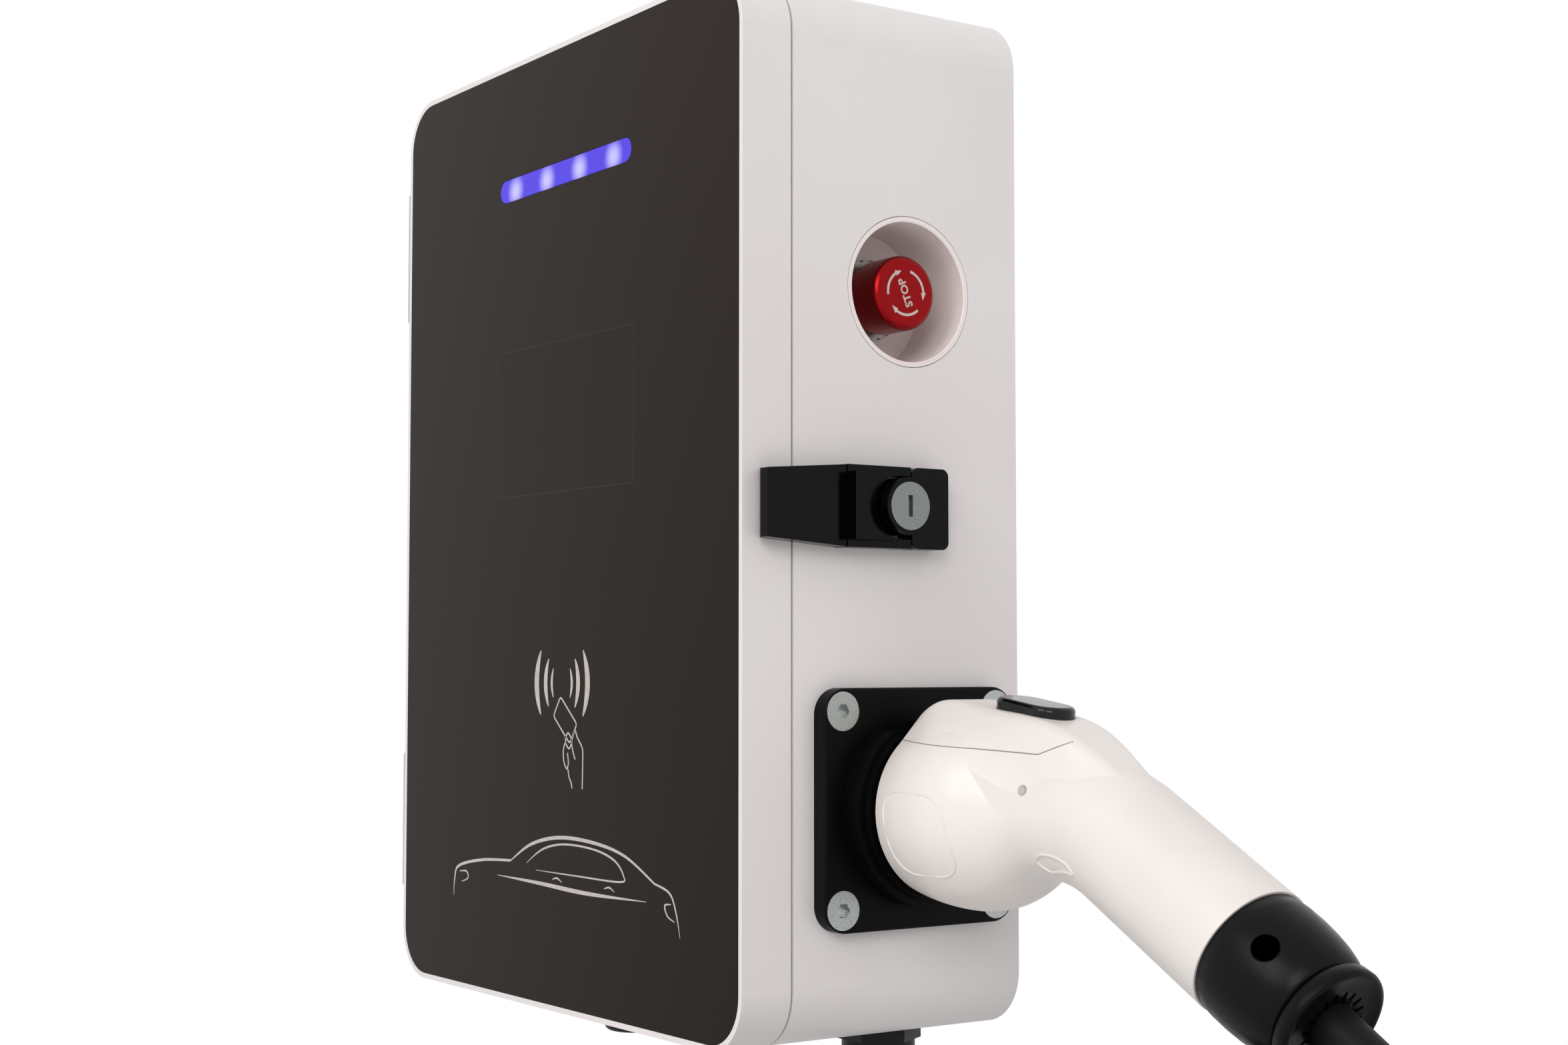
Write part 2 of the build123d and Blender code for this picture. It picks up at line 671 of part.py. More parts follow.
with BuildPart() as stop_head:
    with BuildSketch(from_side(stop_head_back)):
        with Locations((row_y, stop_height)):
            Circle(stop_head_radius)
    extrude(amount=stop_head_length)
    fillet(stop_head.faces().sort_by(Axis.X)[-1].edges(), stop_head_edge)
    with BuildSketch(from_side(stop_head_back)):
        with Locations((row_y, stop_height)):
            Circle(spigot_radius + running_gap)
    extrude(amount=spigot_length + seat_gap, mode=Mode.SUBTRACT)
stop_head.part.label = "stop_head"
export_step(stop_head.part, "parts/stop_head.step")

with BuildPart() as stop_contacts:
    with BuildSketch(from_side(-pot_depth - barrel_tail - contact_box_depth)):
        with Locations((row_y, stop_height)):
            RectangleRounded(contact_box_width, contact_box_width, 2 * seam)
    extrude(amount=contact_box_depth)
    with BuildSketch(from_side(-pot_depth - barrel_tail - contact_box_depth)):
        with Locations((row_y, stop_height)):
            with GridLocations(contact_box_width / 2, contact_box_width / 2, 2, 2):
                Circle(contact_box_width / 10)
    extrude(amount=contact_box_width / 4, mode=Mode.SUBTRACT)
stop_contacts.part.label = "stop_contacts"
export_step(stop_contacts.part, "parts/stop_contacts.step")

# The holster: a square flange held by four bolts, a shaped collar, and a cup behind the
# wall that takes the nose of the gun.
flange_width = 90.0
flange_thickness = 7.0
flange_corner = 10.0
flange_edge = 1.0
collar_outer_radius = 37.0
collar_flat = 29.0
collar_top = 16.0
collar_lip = 3.0
collar_lip_width = 3.0
nose_radius = 21.9
cup_radius = nose_radius + seat_gap
cup_depth = 22.0
cup_floor = 3.0
bolt_head_radius = 7.25
bolt_head_sink = 0.3
hex_across = 5.0
hex_depth = 3.0
bolt_length = 14.0
latch_half = 4.0
latch_bite = 2.0
tooth_thickness = 3.0

with BuildPart() as holster_flange:
    with BuildSketch(from_side(0)):
        with Locations((row_y, holster_height)):
            RectangleRounded(flange_width, flange_width, flange_corner)
    extrude(amount=flange_thickness)
    fillet(holster_flange.faces().sort_by(Axis.X)[-1].edges(), flange_edge)
    with BuildSketch(from_side(0)):
        with Locations((row_y, holster_height)):
            Circle(holster_opening_radius)
            with GridLocations(holster_bolt_pitch, holster_bolt_pitch, 2, 2):
                Circle(holster_bolt_radius + slip_gap)
    extrude(amount=flange_thickness, mode=Mode.SUBTRACT)
    with BuildSketch(from_side(flange_thickness)):
        with Locations((row_y, holster_height)):
            with GridLocations(holster_bolt_pitch, holster_bolt_pitch, 2, 2):
                Circle(bolt_head_radius + bolt_head_sink + running_gap)
    extrude(amount=holster_bolt_radius - bolt_head_radius - bolt_head_sink, taper=45,
            mode=Mode.SUBTRACT)
holster_flange.part.label = "holster_flange"
export_step(holster_flange.part, "parts/holster_flange.step")

with BuildPart() as holster_bolts:
    with BuildSketch(from_side(flange_thickness - bolt_head_sink)):
        with Locations((row_y, holster_height)):
            with GridLocations(holster_bolt_pitch, holster_bolt_pitch, 2, 2):
                Circle(bolt_head_radius)
    extrude(amount=holster_bolt_radius - bolt_head_radius, taper=45)
    with BuildSketch(from_side(flange_thickness - bolt_length)):
        with Locations((row_y, holster_height)):
            with GridLocations(holster_bolt_pitch, holster_bolt_pitch, 2, 2):
                Circle(holster_bolt_radius)
    extrude(amount=bolt_length - bolt_head_sink - seam)
    with BuildSketch(from_side(flange_thickness - bolt_head_sink)):
        with Locations((row_y, holster_height)):
            with GridLocations(holster_bolt_pitch, holster_bolt_pitch, 2, 2):
                RegularPolygon(hex_across / 2, 6, major_radius=False)
    extrude(amount=-hex_depth, mode=Mode.SUBTRACT)
holster_bolts.part.label = "holster_bolts"
export_step(holster_bolts.part, "parts/holster_bolts.step")

with BuildPart() as holster_cup:
    # The collar's outline is a circle with a flat on top, under the gun's latch.
    with BuildSketch(from_side(flange_thickness)):
        with Locations((row_y, holster_height)):
            Circle(collar_outer_radius)
        with Locations((row_y, holster_height + collar_flat + collar_outer_radius)):
            Rectangle(2 * collar_outer_radius, 2 * collar_outer_radius, mode=Mode.SUBTRACT)
    extrude(amount=collar_top - flange_thickness)
    with BuildSketch(from_side(collar_top)):
        with Locations((row_y, holster_height)):
            Circle(collar_outer_radius - collar_lip_width)
        with Locations((row_y, holster_height + collar_flat + collar_outer_radius
                        - collar_lip_width / 2)):
            Rectangle(2 * collar_outer_radius, 2 * collar_outer_radius, mode=Mode.SUBTRACT)
    extrude(amount=collar_lip)
    with BuildSketch(from_side(-cup_depth - cup_floor)):
        with Locations((row_y, holster_height)):
            Circle(holster_tube_radius)
    extrude(amount=cup_depth + cup_floor + flange_thickness)
    with BuildSketch(from_side(-cup_depth)):
        with Locations((row_y, holster_height)):
            Circle(cup_radius)
    extrude(amount=cup_depth + collar_top + collar_lip, mode=Mode.SUBTRACT)
    # The latch's tooth drops into a notch across the flat.
    with BuildSketch(from_side(flange_thickness + seam - seat_gap)):
        with Locations((row_y, holster_height + collar_flat)):
            Rectangle(2 * (latch_half + seam), 2 * (latch_bite + seam))
    extrude(amount=tooth_thickness + 2 * seat_gap + seat_gap, mode=Mode.SUBTRACT)
holster_cup.part.label = "holster_cup"
export_step(holster_cup.part, "parts/holster_cup.step")

# The charging gun. Its places are given as (reach out from the side, height above the
# holster's axis), and all of it is symmetric about the plane through that axis.
gun_front = 21.0
gun_front_radius = 32.5
gun_bulge_radius = 35.8
bulge_setback = 26.0
throat_radius = 25.0
grip_radius = 23.0
grip_end = 174.4
grip_end_drop = 36.9
grip_tilt = 29.1
grip_straight = 80.0
gun_crest = 40.5
cap_length = 32.0
gland_height = 8.0
gland_radius = 18.5
cable_radius = 8.0
nose_length = 35.0

def gun_point(reach, height):
    return (half_width + reach, row_y, holster_height + height)


def gun_plane(reach, height, tilt):
    """A plane across the gun at this place, whose normal leans down by tilt degrees."""
    return Plane(origin=gun_point(reach, height), x_dir=(0, 1, 0),
                 z_dir=(cos(radians(tilt)), 0, -sin(radians(tilt))))


# The head is turned about the line from its front to the grip's elbow: a slow curve to
# the bulge, a ball behind it, and a hollow throat that runs into the grip.
elbow_reach = grip_end - grip_straight * cos(radians(grip_tilt))
elbow_height = grip_straight * sin(radians(grip_tilt)) - grip_end_drop
head_lift = atan2(elbow_height, elbow_reach - gun_front)
head_plane = Plane(origin=gun_point(gun_front, 0), x_dir=(cos(head_lift), 0, sin(head_lift)),
                   z_dir=(0, -1, 0))
throat_turn = acos((grip_radius + throat_radius) / (gun_bulge_radius + throat_radius))
neck = bulge_setback + (gun_bulge_radius + throat_radius) * sin(throat_turn)
neck_place = head_plane.from_local_coords((neck, 0, 0))

with BuildPart() as gun_head:
    with BuildSketch(head_plane):
        with BuildLine():
            ball = JernArc((bulge_setback, gun_bulge_radius), (1, 0), gun_bulge_radius,
                           -degrees(throat_turn))
            hollow = JernArc(ball @ 1, ball % 1, throat_radius, degrees(throat_turn))
            Polyline(hollow @ 1, (neck, 0), (0, 0), (0, gun_front_radius))
            TangentArc((bulge_setback, gun_bulge_radius), (0, gun_front_radius),
                       tangent=(-1, 0))
        make_face()
    revolve(axis=Axis(head_plane.origin, head_plane.x_dir))

# The grip is a round bar with one bend, as wide as the room before its elbow allows.
elbow_run = hypot(elbow_reach - gun_front, elbow_height) - neck
elbow_turn = radians(grip_tilt) + head_lift
bend_share = 0.95
grip_bend = bend_share * elbow_run / tan(elbow_turn / 2)

with BuildPart() as gun_grip:
    with BuildLine() as grip_path:
        FilletPolyline(neck_place, gun_point(elbow_reach, elbow_height),
                       gun_point(grip_end, -grip_end_drop), radius=grip_bend)
    with BuildSketch(Plane(origin=neck_place, z_dir=head_plane.x_dir)):
        Circle(grip_radius)
    sweep(path=grip_path.wires()[0])

# The saddle on top of the gun houses the latch. Its top rises to the crest, slopes under
# the button and runs out on the grip. Each section is a ridge whose flanks run tangent to
# the round body below: reach, body radius, body height, top height, top half width
ridge_corner = 5.0
crest_rise = 4.0
crest_reach = 42.0
saddle_reach = 57.0
saddle_drop = 2.0
slope_reach = 91.5
slope_drop = 7.0
merge_reach = 106.0
merge_drop = 13.2
sink_reach = 124.0
sink_drop = 24.5
ridge_front_half = 10.0
ridge_crest_half = 11.0
ridge_half = 12.5
ridge_sink_half = 7.0
ridge_sections = (
    (gun_front, gun_front_radius, 0, crest_rise, ridge_front_half),
    (crest_reach, gun_bulge_radius, 0, 0, ridge_crest_half),
    (saddle_reach, gun_bulge_radius - saddle_drop, 0, saddle_drop, ridge_half),
    (slope_reach, grip_radius, elbow_height / 2, slope_drop, ridge_half),
    (merge_reach, grip_radius, -elbow_height, merge_drop, ridge_front_half),
    (sink_reach, grip_radius - 2 * seam, -5 * elbow_height, sink_drop, ridge_sink_half),
)

with BuildPart() as ridge_form:
    for reach, radius, centre, drop, half_top in ridge_sections:
        top = gun_crest - drop
        spread = atan2(top - centre, half_top) - acos(
            radius / hypot(half_top, top - centre))
        foot_x = radius * cos(spread)
        foot_y = centre + radius * sin(spread)
        with BuildSketch(gun_plane(reach, 0, 0)):
            with BuildLine():
                Polyline((-foot_x, centre), (-foot_x, foot_y), (-half_top, top),
                         (half_top, top), (foot_x, foot_y), (foot_x, centre), close=True)
            make_face()
            fillet(vertices().group_by(Axis.Y)[-1], ridge_corner)
    loft()


# A seam divides the gun: the latch cover lies above it and the handle below.
seam_front_height = 26.3
seam_low_reach = 91.0
seam_low_height = 23.2
seam_tail_reach = 105.0
seam_tail_height = 28.5
cover_wall = 2.2
well_half = 9.3
well_start = 30.0
well_end = 92.0
well_floor = 12.0
socket_depth = 12.0


def side_place(reach, height):
    """A place in the gun's plane of symmetry, as right and up from the origin."""
    return (half_width + reach, holster_height + height)


with BuildPart() as above_seam:
    with BuildSketch(from_wall(row_depth)):
        with BuildLine():
            Polyline(side_place(gun_front - cut_over, seam_front_height),
                     side_place(seam_low_reach, seam_low_height),
                     side_place(seam_tail_reach, seam_tail_height),
                     side_place(seam_tail_reach, 2 * gun_crest),
                     side_place(gun_front - cut_over, 2 * gun_crest), close=True)
        make_face()
    extrude(amount=2 * gun_bulge_radius, both=True)

gun_whole = gun_head.part + gun_grip.part + ridge_form.part

with BuildPart() as gun_body:
    add(gun_whole)
    add(above_seam.part, mode=Mode.SUBTRACT)
    # The front face is square to the holster's axis.
    with BuildSketch(from_side(gun_front - 2 * seam)):
        with Locations((row_y, holster_height)):
            Circle(gun_bulge_radius)
    extrude(amount=2 * seam, mode=Mode.SUBTRACT)
    with BuildSketch(from_side(gun_front)):
        with Locations((row_y, holster_height)):
            Circle(nose_radius + running_gap)
    extrude(amount=socket_depth + seat_gap, mode=Mode.SUBTRACT)
    with BuildSketch(from_wall(row_depth)):
        with BuildLine():
            Polyline(side_place(well_start, gun_crest), side_place(well_start, seam_low_height),
                     side_place(saddle_reach, well_floor),
                     side_place(well_end, well_floor), side_place(well_end, gun_crest),
                     close=True)
        make_face()
    extrude(amount=latch_half + 2 * seam, both=True, mode=Mode.SUBTRACT)
gun_body.part.label = "gun_body"
export_step(gun_body.part, "parts/gun_body.step")

# The button lies on the slope of the saddle and moves square to it.
button_length = 33.0
button_width = 18.0
button_reach = 72.0
button_slope = 8.0
button_proud = 4.5
button_travel = 2.5
button_edge = 2.0
button_skirt = 4.5
button_ledge = 3.0
button_foot_radius = 2.5
button_foot_reach = 4.0
button_seat_drop = 4.2
saddle_height = gun_crest - button_seat_drop
button_plane = Plane(origin=gun_point(button_reach, saddle_height), x_dir=(0, 1, 0),
                     z_dir=(sin(radians(button_slope)), 0, cos(radians(button_slope))))

latch_pivot_reach = 44.0
latch_pivot_height = 29.0
latch_pin_radius = 1.5
latch_pin_length = 24.0
latch_bar = 3.0
latch_tooth_reach = flange_thickness + seam
latch_under = collar_flat + seat_gap + seat_gap / 3
latch_pad_height = 24.0
latch_pad_bar = 4.0
latch_pad_end = 81.0

with BuildPart() as latch_cover:
    add(gun_whole)
    add(above_seam.part, mode=Mode.INTERSECT)
    with BuildSketch(from_wall(row_depth)):
        with BuildLine():
            Polyline(side_place(gun_front - cut_over, seam_low_height - seam),
                     side_place(gun_front - cut_over, gun_crest - crest_rise - cover_wall),
                     side_place(crest_reach, gun_crest - cover_wall),
                     side_place(saddle_reach, gun_crest - saddle_drop - cover_wall),
                     side_place(well_end, gun_crest - slope_drop - cover_wall),
                     side_place(well_end, seam_low_height - seam), close=True)
        make_face()
    extrude(amount=well_half, both=True, mode=Mode.SUBTRACT)
    with BuildSketch(button_plane):
        SlotOverall(button_length + 2 * slip_gap, button_width + 2 * slip_gap, rotation=90)
    extrude(amount=2 * button_skirt, both=True, mode=Mode.SUBTRACT)
    with Locations(gun_point(latch_pivot_reach, latch_pivot_height)):
        Cylinder(latch_pin_radius, latch_pin_length, rotation=(90, 0, 0), mode=Mode.SUBTRACT)
latch_cover.part.label = "latch_cover"
export_step(latch_cover.part, "parts/latch_cover.step")

with BuildPart() as latch_pin:
    with Locations(gun_point(latch_pivot_reach, latch_pivot_height)):
        Cylinder(latch_pin_radius, latch_pin_length, rotation=(90, 0, 0))
latch_pin.part.label = "latch_pin"
export_step(latch_pin.part, "parts/latch_pin.step")

with BuildPart() as gun_button:
    with BuildSketch(button_plane.offset(-button_skirt)):
        SlotOverall(button_length, button_width, rotation=90)
    extrude(amount=button_skirt + button_proud)
    fillet(gun_button.faces().sort_by(Axis.Z)[-1].edges(), button_edge)
    ledge_top = -cover_wall - seat_gap
    with BuildSketch(button_plane.offset(-button_skirt)):
        Rectangle(button_width / 2, button_length + 2 * button_ledge)
    extrude(amount=button_skirt + ledge_top)
    with BuildSketch(button_plane.offset(-button_skirt)):
        with Locations((0, -button_foot_reach)):
            Circle(button_foot_radius)
    extrude(amount=-(saddle_height - latch_pad_height - button_skirt - 2 * seat_gap - seam))
gun_button.part.label = "gun_button"
export_step(gun_button.part, "parts/gun_button.step")

with BuildPart() as latch_lever:
    with BuildSketch(from_wall(row_depth)):
        with BuildLine():
            Polyline(side_place(latch_tooth_reach, latch_under + latch_bar),
                     side_place(latch_tooth_reach, collar_flat - latch_bite),
                     side_place(latch_tooth_reach + tooth_thickness, collar_flat - latch_bite),
                     side_place(latch_tooth_reach + tooth_thickness, latch_under),
                     side_place(latch_pivot_reach - 2 * latch_half, latch_under),
                     side_place(latch_pivot_reach, latch_pivot_height - latch_bar),
                     side_place(saddle_reach, latch_pad_height - latch_pad_bar),
                     side_place(latch_pad_end, latch_pad_height - latch_pad_bar),
                     side_place(latch_pad_end, latch_pad_height),
                     side_place(saddle_reach + latch_bar, latch_pad_height),
                     side_place(latch_pivot_reach, latch_under + latch_bar), close=True)
        make_face()
        with Locations(side_place(latch_pivot_reach, latch_pivot_height)):
            Circle(latch_pin_radius + running_gap, mode=Mode.SUBTRACT)
    extrude(amount=latch_half, both=True)
latch_lever.part.label = "latch_lever"
export_step(latch_lever.part, "parts/latch_lever.step")

# The nose carries seven sleeves in blind bores: five for power, two small ones for signals.
nose_chamfer = 1.5
power_pitch = 12.5
power_bore = 3.7
signal_bore = 2.1
sleeve_wall = 0.8
bore_depth = 24.0
sleeve_sink = 2.0
power_places = [(0, 0), (-power_pitch, 0), (power_pitch, 0),
                (-power_pitch / 2, -power_pitch), (power_pitch / 2, -power_pitch)]
signal_share = 0.8
signal_places = [(-power_pitch / 2, power_pitch * signal_share),
                 (power_pitch / 2, power_pitch * signal_share)]
nose_tip = gun_front - nose_length

with BuildPart() as gun_nose:
    with BuildSketch(from_side(nose_tip)):
        with Locations((row_y, holster_height)):
            Circle(nose_radius)
    extrude(amount=nose_length + socket_depth)
    chamfer(gun_nose.faces().sort_by(Axis.X)[0].edges(), nose_chamfer)
    with BuildSketch(from_side(nose_tip)):
        with Locations((row_y, holster_height)):
            with Locations(*power_places):
                Circle(power_bore)
            with Locations(*signal_places):
                Circle(signal_bore)
    extrude(amount=bore_depth, mode=Mode.SUBTRACT)
gun_nose.part.label = "gun_nose"
export_step(gun_nose.part, "parts/gun_nose.step")

with BuildPart() as gun_contacts:
    with BuildSketch(from_side(nose_tip + sleeve_sink)):
        with Locations((row_y, holster_height)):
            with Locations(*power_places):
                Circle(power_bore - running_gap)
                Circle(power_bore - running_gap - sleeve_wall, mode=Mode.SUBTRACT)
            with Locations(*signal_places):
                Circle(signal_bore - running_gap)
                Circle(signal_bore - running_gap - sleeve_wall, mode=Mode.SUBTRACT)
    extrude(amount=bore_depth - sleeve_sink)
gun_contacts.part.label = "gun_contacts"
export_step(gun_contacts.part, "parts/gun_contacts.step")

# The tail: a dark cap with a rounded shoulder, and the nut that grips the cable.
cap_inset = 0.6
cap_barrel = 21.0
cap_shoulder = 5.0
cap_neck_radius = 17.2
cap_hole_radius = 3.0
cap_hole_reach = 14.0
gland_recess = 6.0
gland_flutes = 16
gland_flute_radius = 1.6
tail_plane = gun_plane(grip_end, -grip_end_drop, grip_tilt)

with BuildPart() as tail_cap:
    with BuildSketch(tail_plane):
        Circle(grip_radius - cap_inset)
    extrude(amount=cap_barrel)
    fillet(tail_cap.faces().sort_by(Axis.X)[-1].edges(), cap_shoulder)
    with BuildSketch(tail_plane.offset(cap_barrel)):
        Circle(cap_neck_radius)
    extrude(amount=cap_length - cap_barrel)
tail_cap.part.label = "tail_cap"
export_step(tail_cap.part, "parts/tail_cap.step")

with BuildPart() as cable_nut:
    with BuildSketch(tail_plane.offset(cap_length)):
        Circle(gland_radius)
        with PolarLocations(gland_radius, gland_flutes):
            Circle(gland_flute_radius, mode=Mode.SUBTRACT)
    extrude(amount=gland_height)
    with BuildSketch(tail_plane.offset(cap_length + gland_height - gland_recess)):
        Circle(cable_radius + seat_gap)
    extrude(amount=gland_recess, mode=Mode.SUBTRACT)
cable_nut.part.label = "cable_nut"
export_step(cable_nut.part, "parts/cable_nut.step")

# Two cable glands in the floor of the cabinet: the charging cable's and the supply's.
gland_lock_radius = 16.5
gland_lock_height = 5.0
gland_hex_radius = 17.0
gland_hex_height = 6.0
gland_dome_radius = 14.5
gland_dome_height = 16.0
gland_dome_edge = 3.0
gland_thread_up = 9.0
gland_clear_radius = 9.5
supply_bore = 7.0
gland_seats = {
    "outlet": (outlet_x, outlet_y, cable_radius + seat_gap, gland_recess),
    "supply": (supply_x, gland_y, supply_bore, 0),
}
gland_bodies = {}
gland_lock_nuts = {}
for name, (x, y, bore, recess) in gland_seats.items():
    with BuildPart() as gland_body:
        with BuildSketch(from_floor(-half_height)):
            with Locations((x, y)):
                Circle(gland_thread_radius)
        extrude(amount=wall + gland_thread_up)
        with BuildSketch(from_floor(-half_height)):
            with Locations((x, y)):
                RegularPolygon(gland_hex_radius, 6)
        extrude(amount=-gland_hex_height)
        with BuildSketch(from_floor(-half_height - gland_hex_height)):
            with Locations((x, y)):
                Circle(gland_dome_radius)
        extrude(amount=-gland_dome_height)
        fillet(gland_body.faces().sort_by(Axis.Z)[0].edges(), gland_dome_edge)
        foot = -half_height - gland_hex_height - gland_dome_height
        with BuildSketch(from_floor(foot)):
            with Locations((x, y)):
                Circle(bore)
        if recess:
            extrude(amount=recess, mode=Mode.SUBTRACT)
        else:
            extrude(amount=gland_dome_height, mode=Mode.SUBTRACT)
            with BuildSketch(from_floor(foot + gland_dome_height)):
                with Locations((x, y)):
                    Circle(gland_clear_radius)
            extrude(amount=gland_hex_height + wall + gland_thread_up, mode=Mode.SUBTRACT)
    with BuildPart() as gland_lock_nut:
        with BuildSketch(from_floor(-half_height + wall)):
            with Locations((x, y)):
                RegularPolygon(gland_lock_radius, 6)
                Circle(gland_thread_radius + running_gap, mode=Mode.SUBTRACT)
        extrude(amount=gland_lock_height)
    gland_body.part.label = name + "_gland"
    export_step(gland_body.part, "parts/" + name + "_gland.step")
    gland_lock_nut.part.label = name + "_lock_nut"
    export_step(gland_lock_nut.part, "parts/" + name + "_lock_nut.step")

# Inside the cabinet: a steel plate on four posts carries the switchgear and the boards.
plate_width = 176.0
plate_height = 300.0
plate_thickness = 1.5
plate_x = -32.0
plate_stand = 9.0
post_radius = 4.0
post_span_x = 156.0
post_span_z = 276.0
plate_front = wall + plate_stand + plate_thickness

with BuildPart() as plate_posts:
    with BuildSketch(from_wall(wall)):
        with Locations((plate_x, 0)):
            with GridLocations(post_span_x, post_span_z, 2, 2):
                Circle(post_radius)
    extrude(amount=plate_stand)
plate_posts.part.label = "plate_posts"
export_step(plate_posts.part, "parts/plate_posts.step")

with BuildPart() as mounting_plate:
    with BuildSketch(from_wall(wall + plate_stand)):
        with Locations((plate_x, 0)):
            RectangleRounded(plate_width, plate_height, post_radius)
    extrude(amount=plate_thickness)
mounting_plate.part.label = "mounting_plate"
export_step(mounting_plate.part, "parts/mounting_plate.step")

# A top-hat rail and three modular devices on it
rail_z = 75.0
rail_length = 160.0
rail_height = 35.0
rail_web = 25.0
rail_depth = 7.5
rail_sheet = 1.0
device_height = 84.0
device_nose_height = 45.0
device_shoulder = 22.0
device_depth = 48.0
device_edge = 1.0
terminal_radius = 3.0
terminal_depth = 5.0
device_row = {"breaker": (-90.0, 36.0), "contactor": (-45.0, 45.0), "energy_meter": (0.0, 36.0)}
rail_front = plate_front + rail_depth

with BuildPart() as din_rail:
    with BuildSketch(Plane.YZ.offset(plate_x - rail_length / 2)):
        with Locations((-plate_front - rail_sheet / 2, rail_z)):
            Rectangle(rail_sheet, rail_web)
        with Locations((-rail_front + rail_sheet / 2, rail_z)):
            Rectangle(rail_sheet, rail_height)
            Rectangle(rail_sheet, rail_web - 2 * rail_sheet, mode=Mode.SUBTRACT)
        with Locations((-plate_front - rail_depth / 2, rail_z)):
            with GridLocations(0, rail_web - rail_sheet, 1, 2):
                Rectangle(rail_depth, rail_sheet)
    extrude(amount=rail_length)
din_rail.part.label = "din_rail"
export_step(din_rail.part, "parts/din_rail.step")

toggle_sink = 6.0
toggle_depth = rail_front + device_depth - toggle_sink
toggle_half = 14.0
toggle_radius = 4.0
toggle_blade = 3.0
toggle_reach = 15.0
toggle_tilt = 35.0
toggle_slot_half = 9.0

for name, (x, width) in device_row.items():
    with BuildPart() as device:
        with BuildSketch(from_wall(rail_front)):
            with Locations((x, rail_z)):
                Rectangle(width, device_height)
        extrude(amount=device_shoulder)
        with BuildSketch(from_wall(rail_front)):
            with Locations((x, rail_z)):
                Rectangle(width, device_nose_height)
        extrude(amount=device_depth)
        fillet(device.faces().sort_by(Axis.Y)[0].edges(), device_edge)
        with BuildSketch(from_wall(rail_front + device_shoulder)):
            with Locations((x, rail_z)):
                with GridLocations(width / 2, (device_height + device_nose_height) / 2, 2, 2):
                    Circle(terminal_radius)
        extrude(amount=-terminal_depth, mode=Mode.SUBTRACT)
        if name == "breaker":
            with BuildSketch(from_wall(toggle_depth - toggle_radius - slip_gap)):
                with Locations((x, rail_z)):
                    Rectangle(2 * (toggle_half + slip_gap), 2 * toggle_slot_half)
            extrude(amount=device_depth, mode=Mode.SUBTRACT)
    device.part.label = name
    export_step(device.part, "parts/" + name + ".step")

breaker_x = device_row["breaker"][0]
blade_plane = Plane(origin=(breaker_x, -toggle_depth, rail_z), x_dir=(1, 0, 0),
                    z_dir=(0, -cos(radians(toggle_tilt)), sin(radians(toggle_tilt))))
with BuildPart() as breaker_toggle:
    with Locations((breaker_x, -toggle_depth, rail_z)):
        Cylinder(toggle_radius, 2 * toggle_half, rotation=(0, 90, 0))
    with BuildSketch(blade_plane):
        Rectangle(2 * toggle_half, toggle_blade)
    extrude(amount=toggle_reach)
breaker_toggle.part.label = "breaker_toggle"
export_step(breaker_toggle.part, "parts/breaker_toggle.step")

# The control board, with its relays and capacitors
board_width = 150.0
board_height = 75.0
board_x = -35.0
board_z = -22.0
board_stand = 8.0
board_pillar_radius = 3.0
board_pillar_inset = 5.0
chip_size = 12.0
chip_height = 1.8
header_width = 60.0
header_height = 10.0
header_rise = 11.0
relay_width = 16.0
relay_height = 29.0
relay_rise = 20.0
relay_pitch = 22.0
capacitor_radius = 6.0
capacitor_rise = 22.0
capacitor_pitch = 16.0
board_front = plate_front + board_stand + board_thickness

with BuildPart() as control_board:
    with BuildSketch(from_wall(plate_front)):
        with Locations((board_x, board_z)):
            with GridLocations(board_width - 2 * board_pillar_inset,
                               board_height - 2 * board_pillar_inset, 2, 2):
                Circle(board_pillar_radius)
    extrude(amount=board_stand)
    with BuildSketch(from_wall(plate_front + board_stand)):
        with Locations((board_x, board_z)):
            RectangleRounded(board_width, board_height, board_pillar_radius)
    extrude(amount=board_thickness)
    with BuildSketch(from_wall(board_front)):
        with Locations((board_x, board_z)):
            Rectangle(chip_size, chip_size)
    extrude(amount=chip_height)
    with BuildSketch(from_wall(board_front)):
        with Locations((board_x, board_z - board_height / 2 + header_height)):
            Rectangle(header_width, header_height)
    extrude(amount=header_rise)
control_board.part.label = "control_board"
export_step(control_board.part, "parts/control_board.step")

with BuildPart() as board_relays:
    with BuildSketch(from_wall(board_front)):
        with Locations((board_x - board_width / 3, board_z)):
            with GridLocations(relay_pitch, 0, 2, 1):
                Rectangle(relay_width, relay_height)
    extrude(amount=relay_rise)
board_relays.part.label = "board_relays"
export_step(board_relays.part, "parts/board_relays.step")

with BuildPart() as board_capacitors:
    with BuildSketch(from_wall(board_front)):
        with Locations((board_x + board_width / 3, board_z)):
            with GridLocations(capacitor_pitch, 0, 2, 1):
                Circle(capacitor_radius)
    extrude(amount=capacitor_rise)
board_capacitors.part.label = "board_capacitors"
export_step(board_capacitors.part, "parts/board_capacitors.step")

# The power supply, the terminal strip and the earth bar
supply_width = 80.0
supply_height = 58.0
supply_rise = 34.0
supply_place = (-72.0, -104.0)
supply_sheet = 1.5
vent_width = 3.0
vent_pitch = 8.0
vent_count = 7
strip_width = 70.0
strip_height = 22.0
strip_rise = 26.0
strip_place = (12.0, -88.0)
strip_ways = 7
strip_cut = 3.0
earth_width = 70.0
earth_height = 8.0
earth_rise = 6.0
earth_stand = 6.0
earth_place = (12.0, -128.0)
earth_hole = 2.2

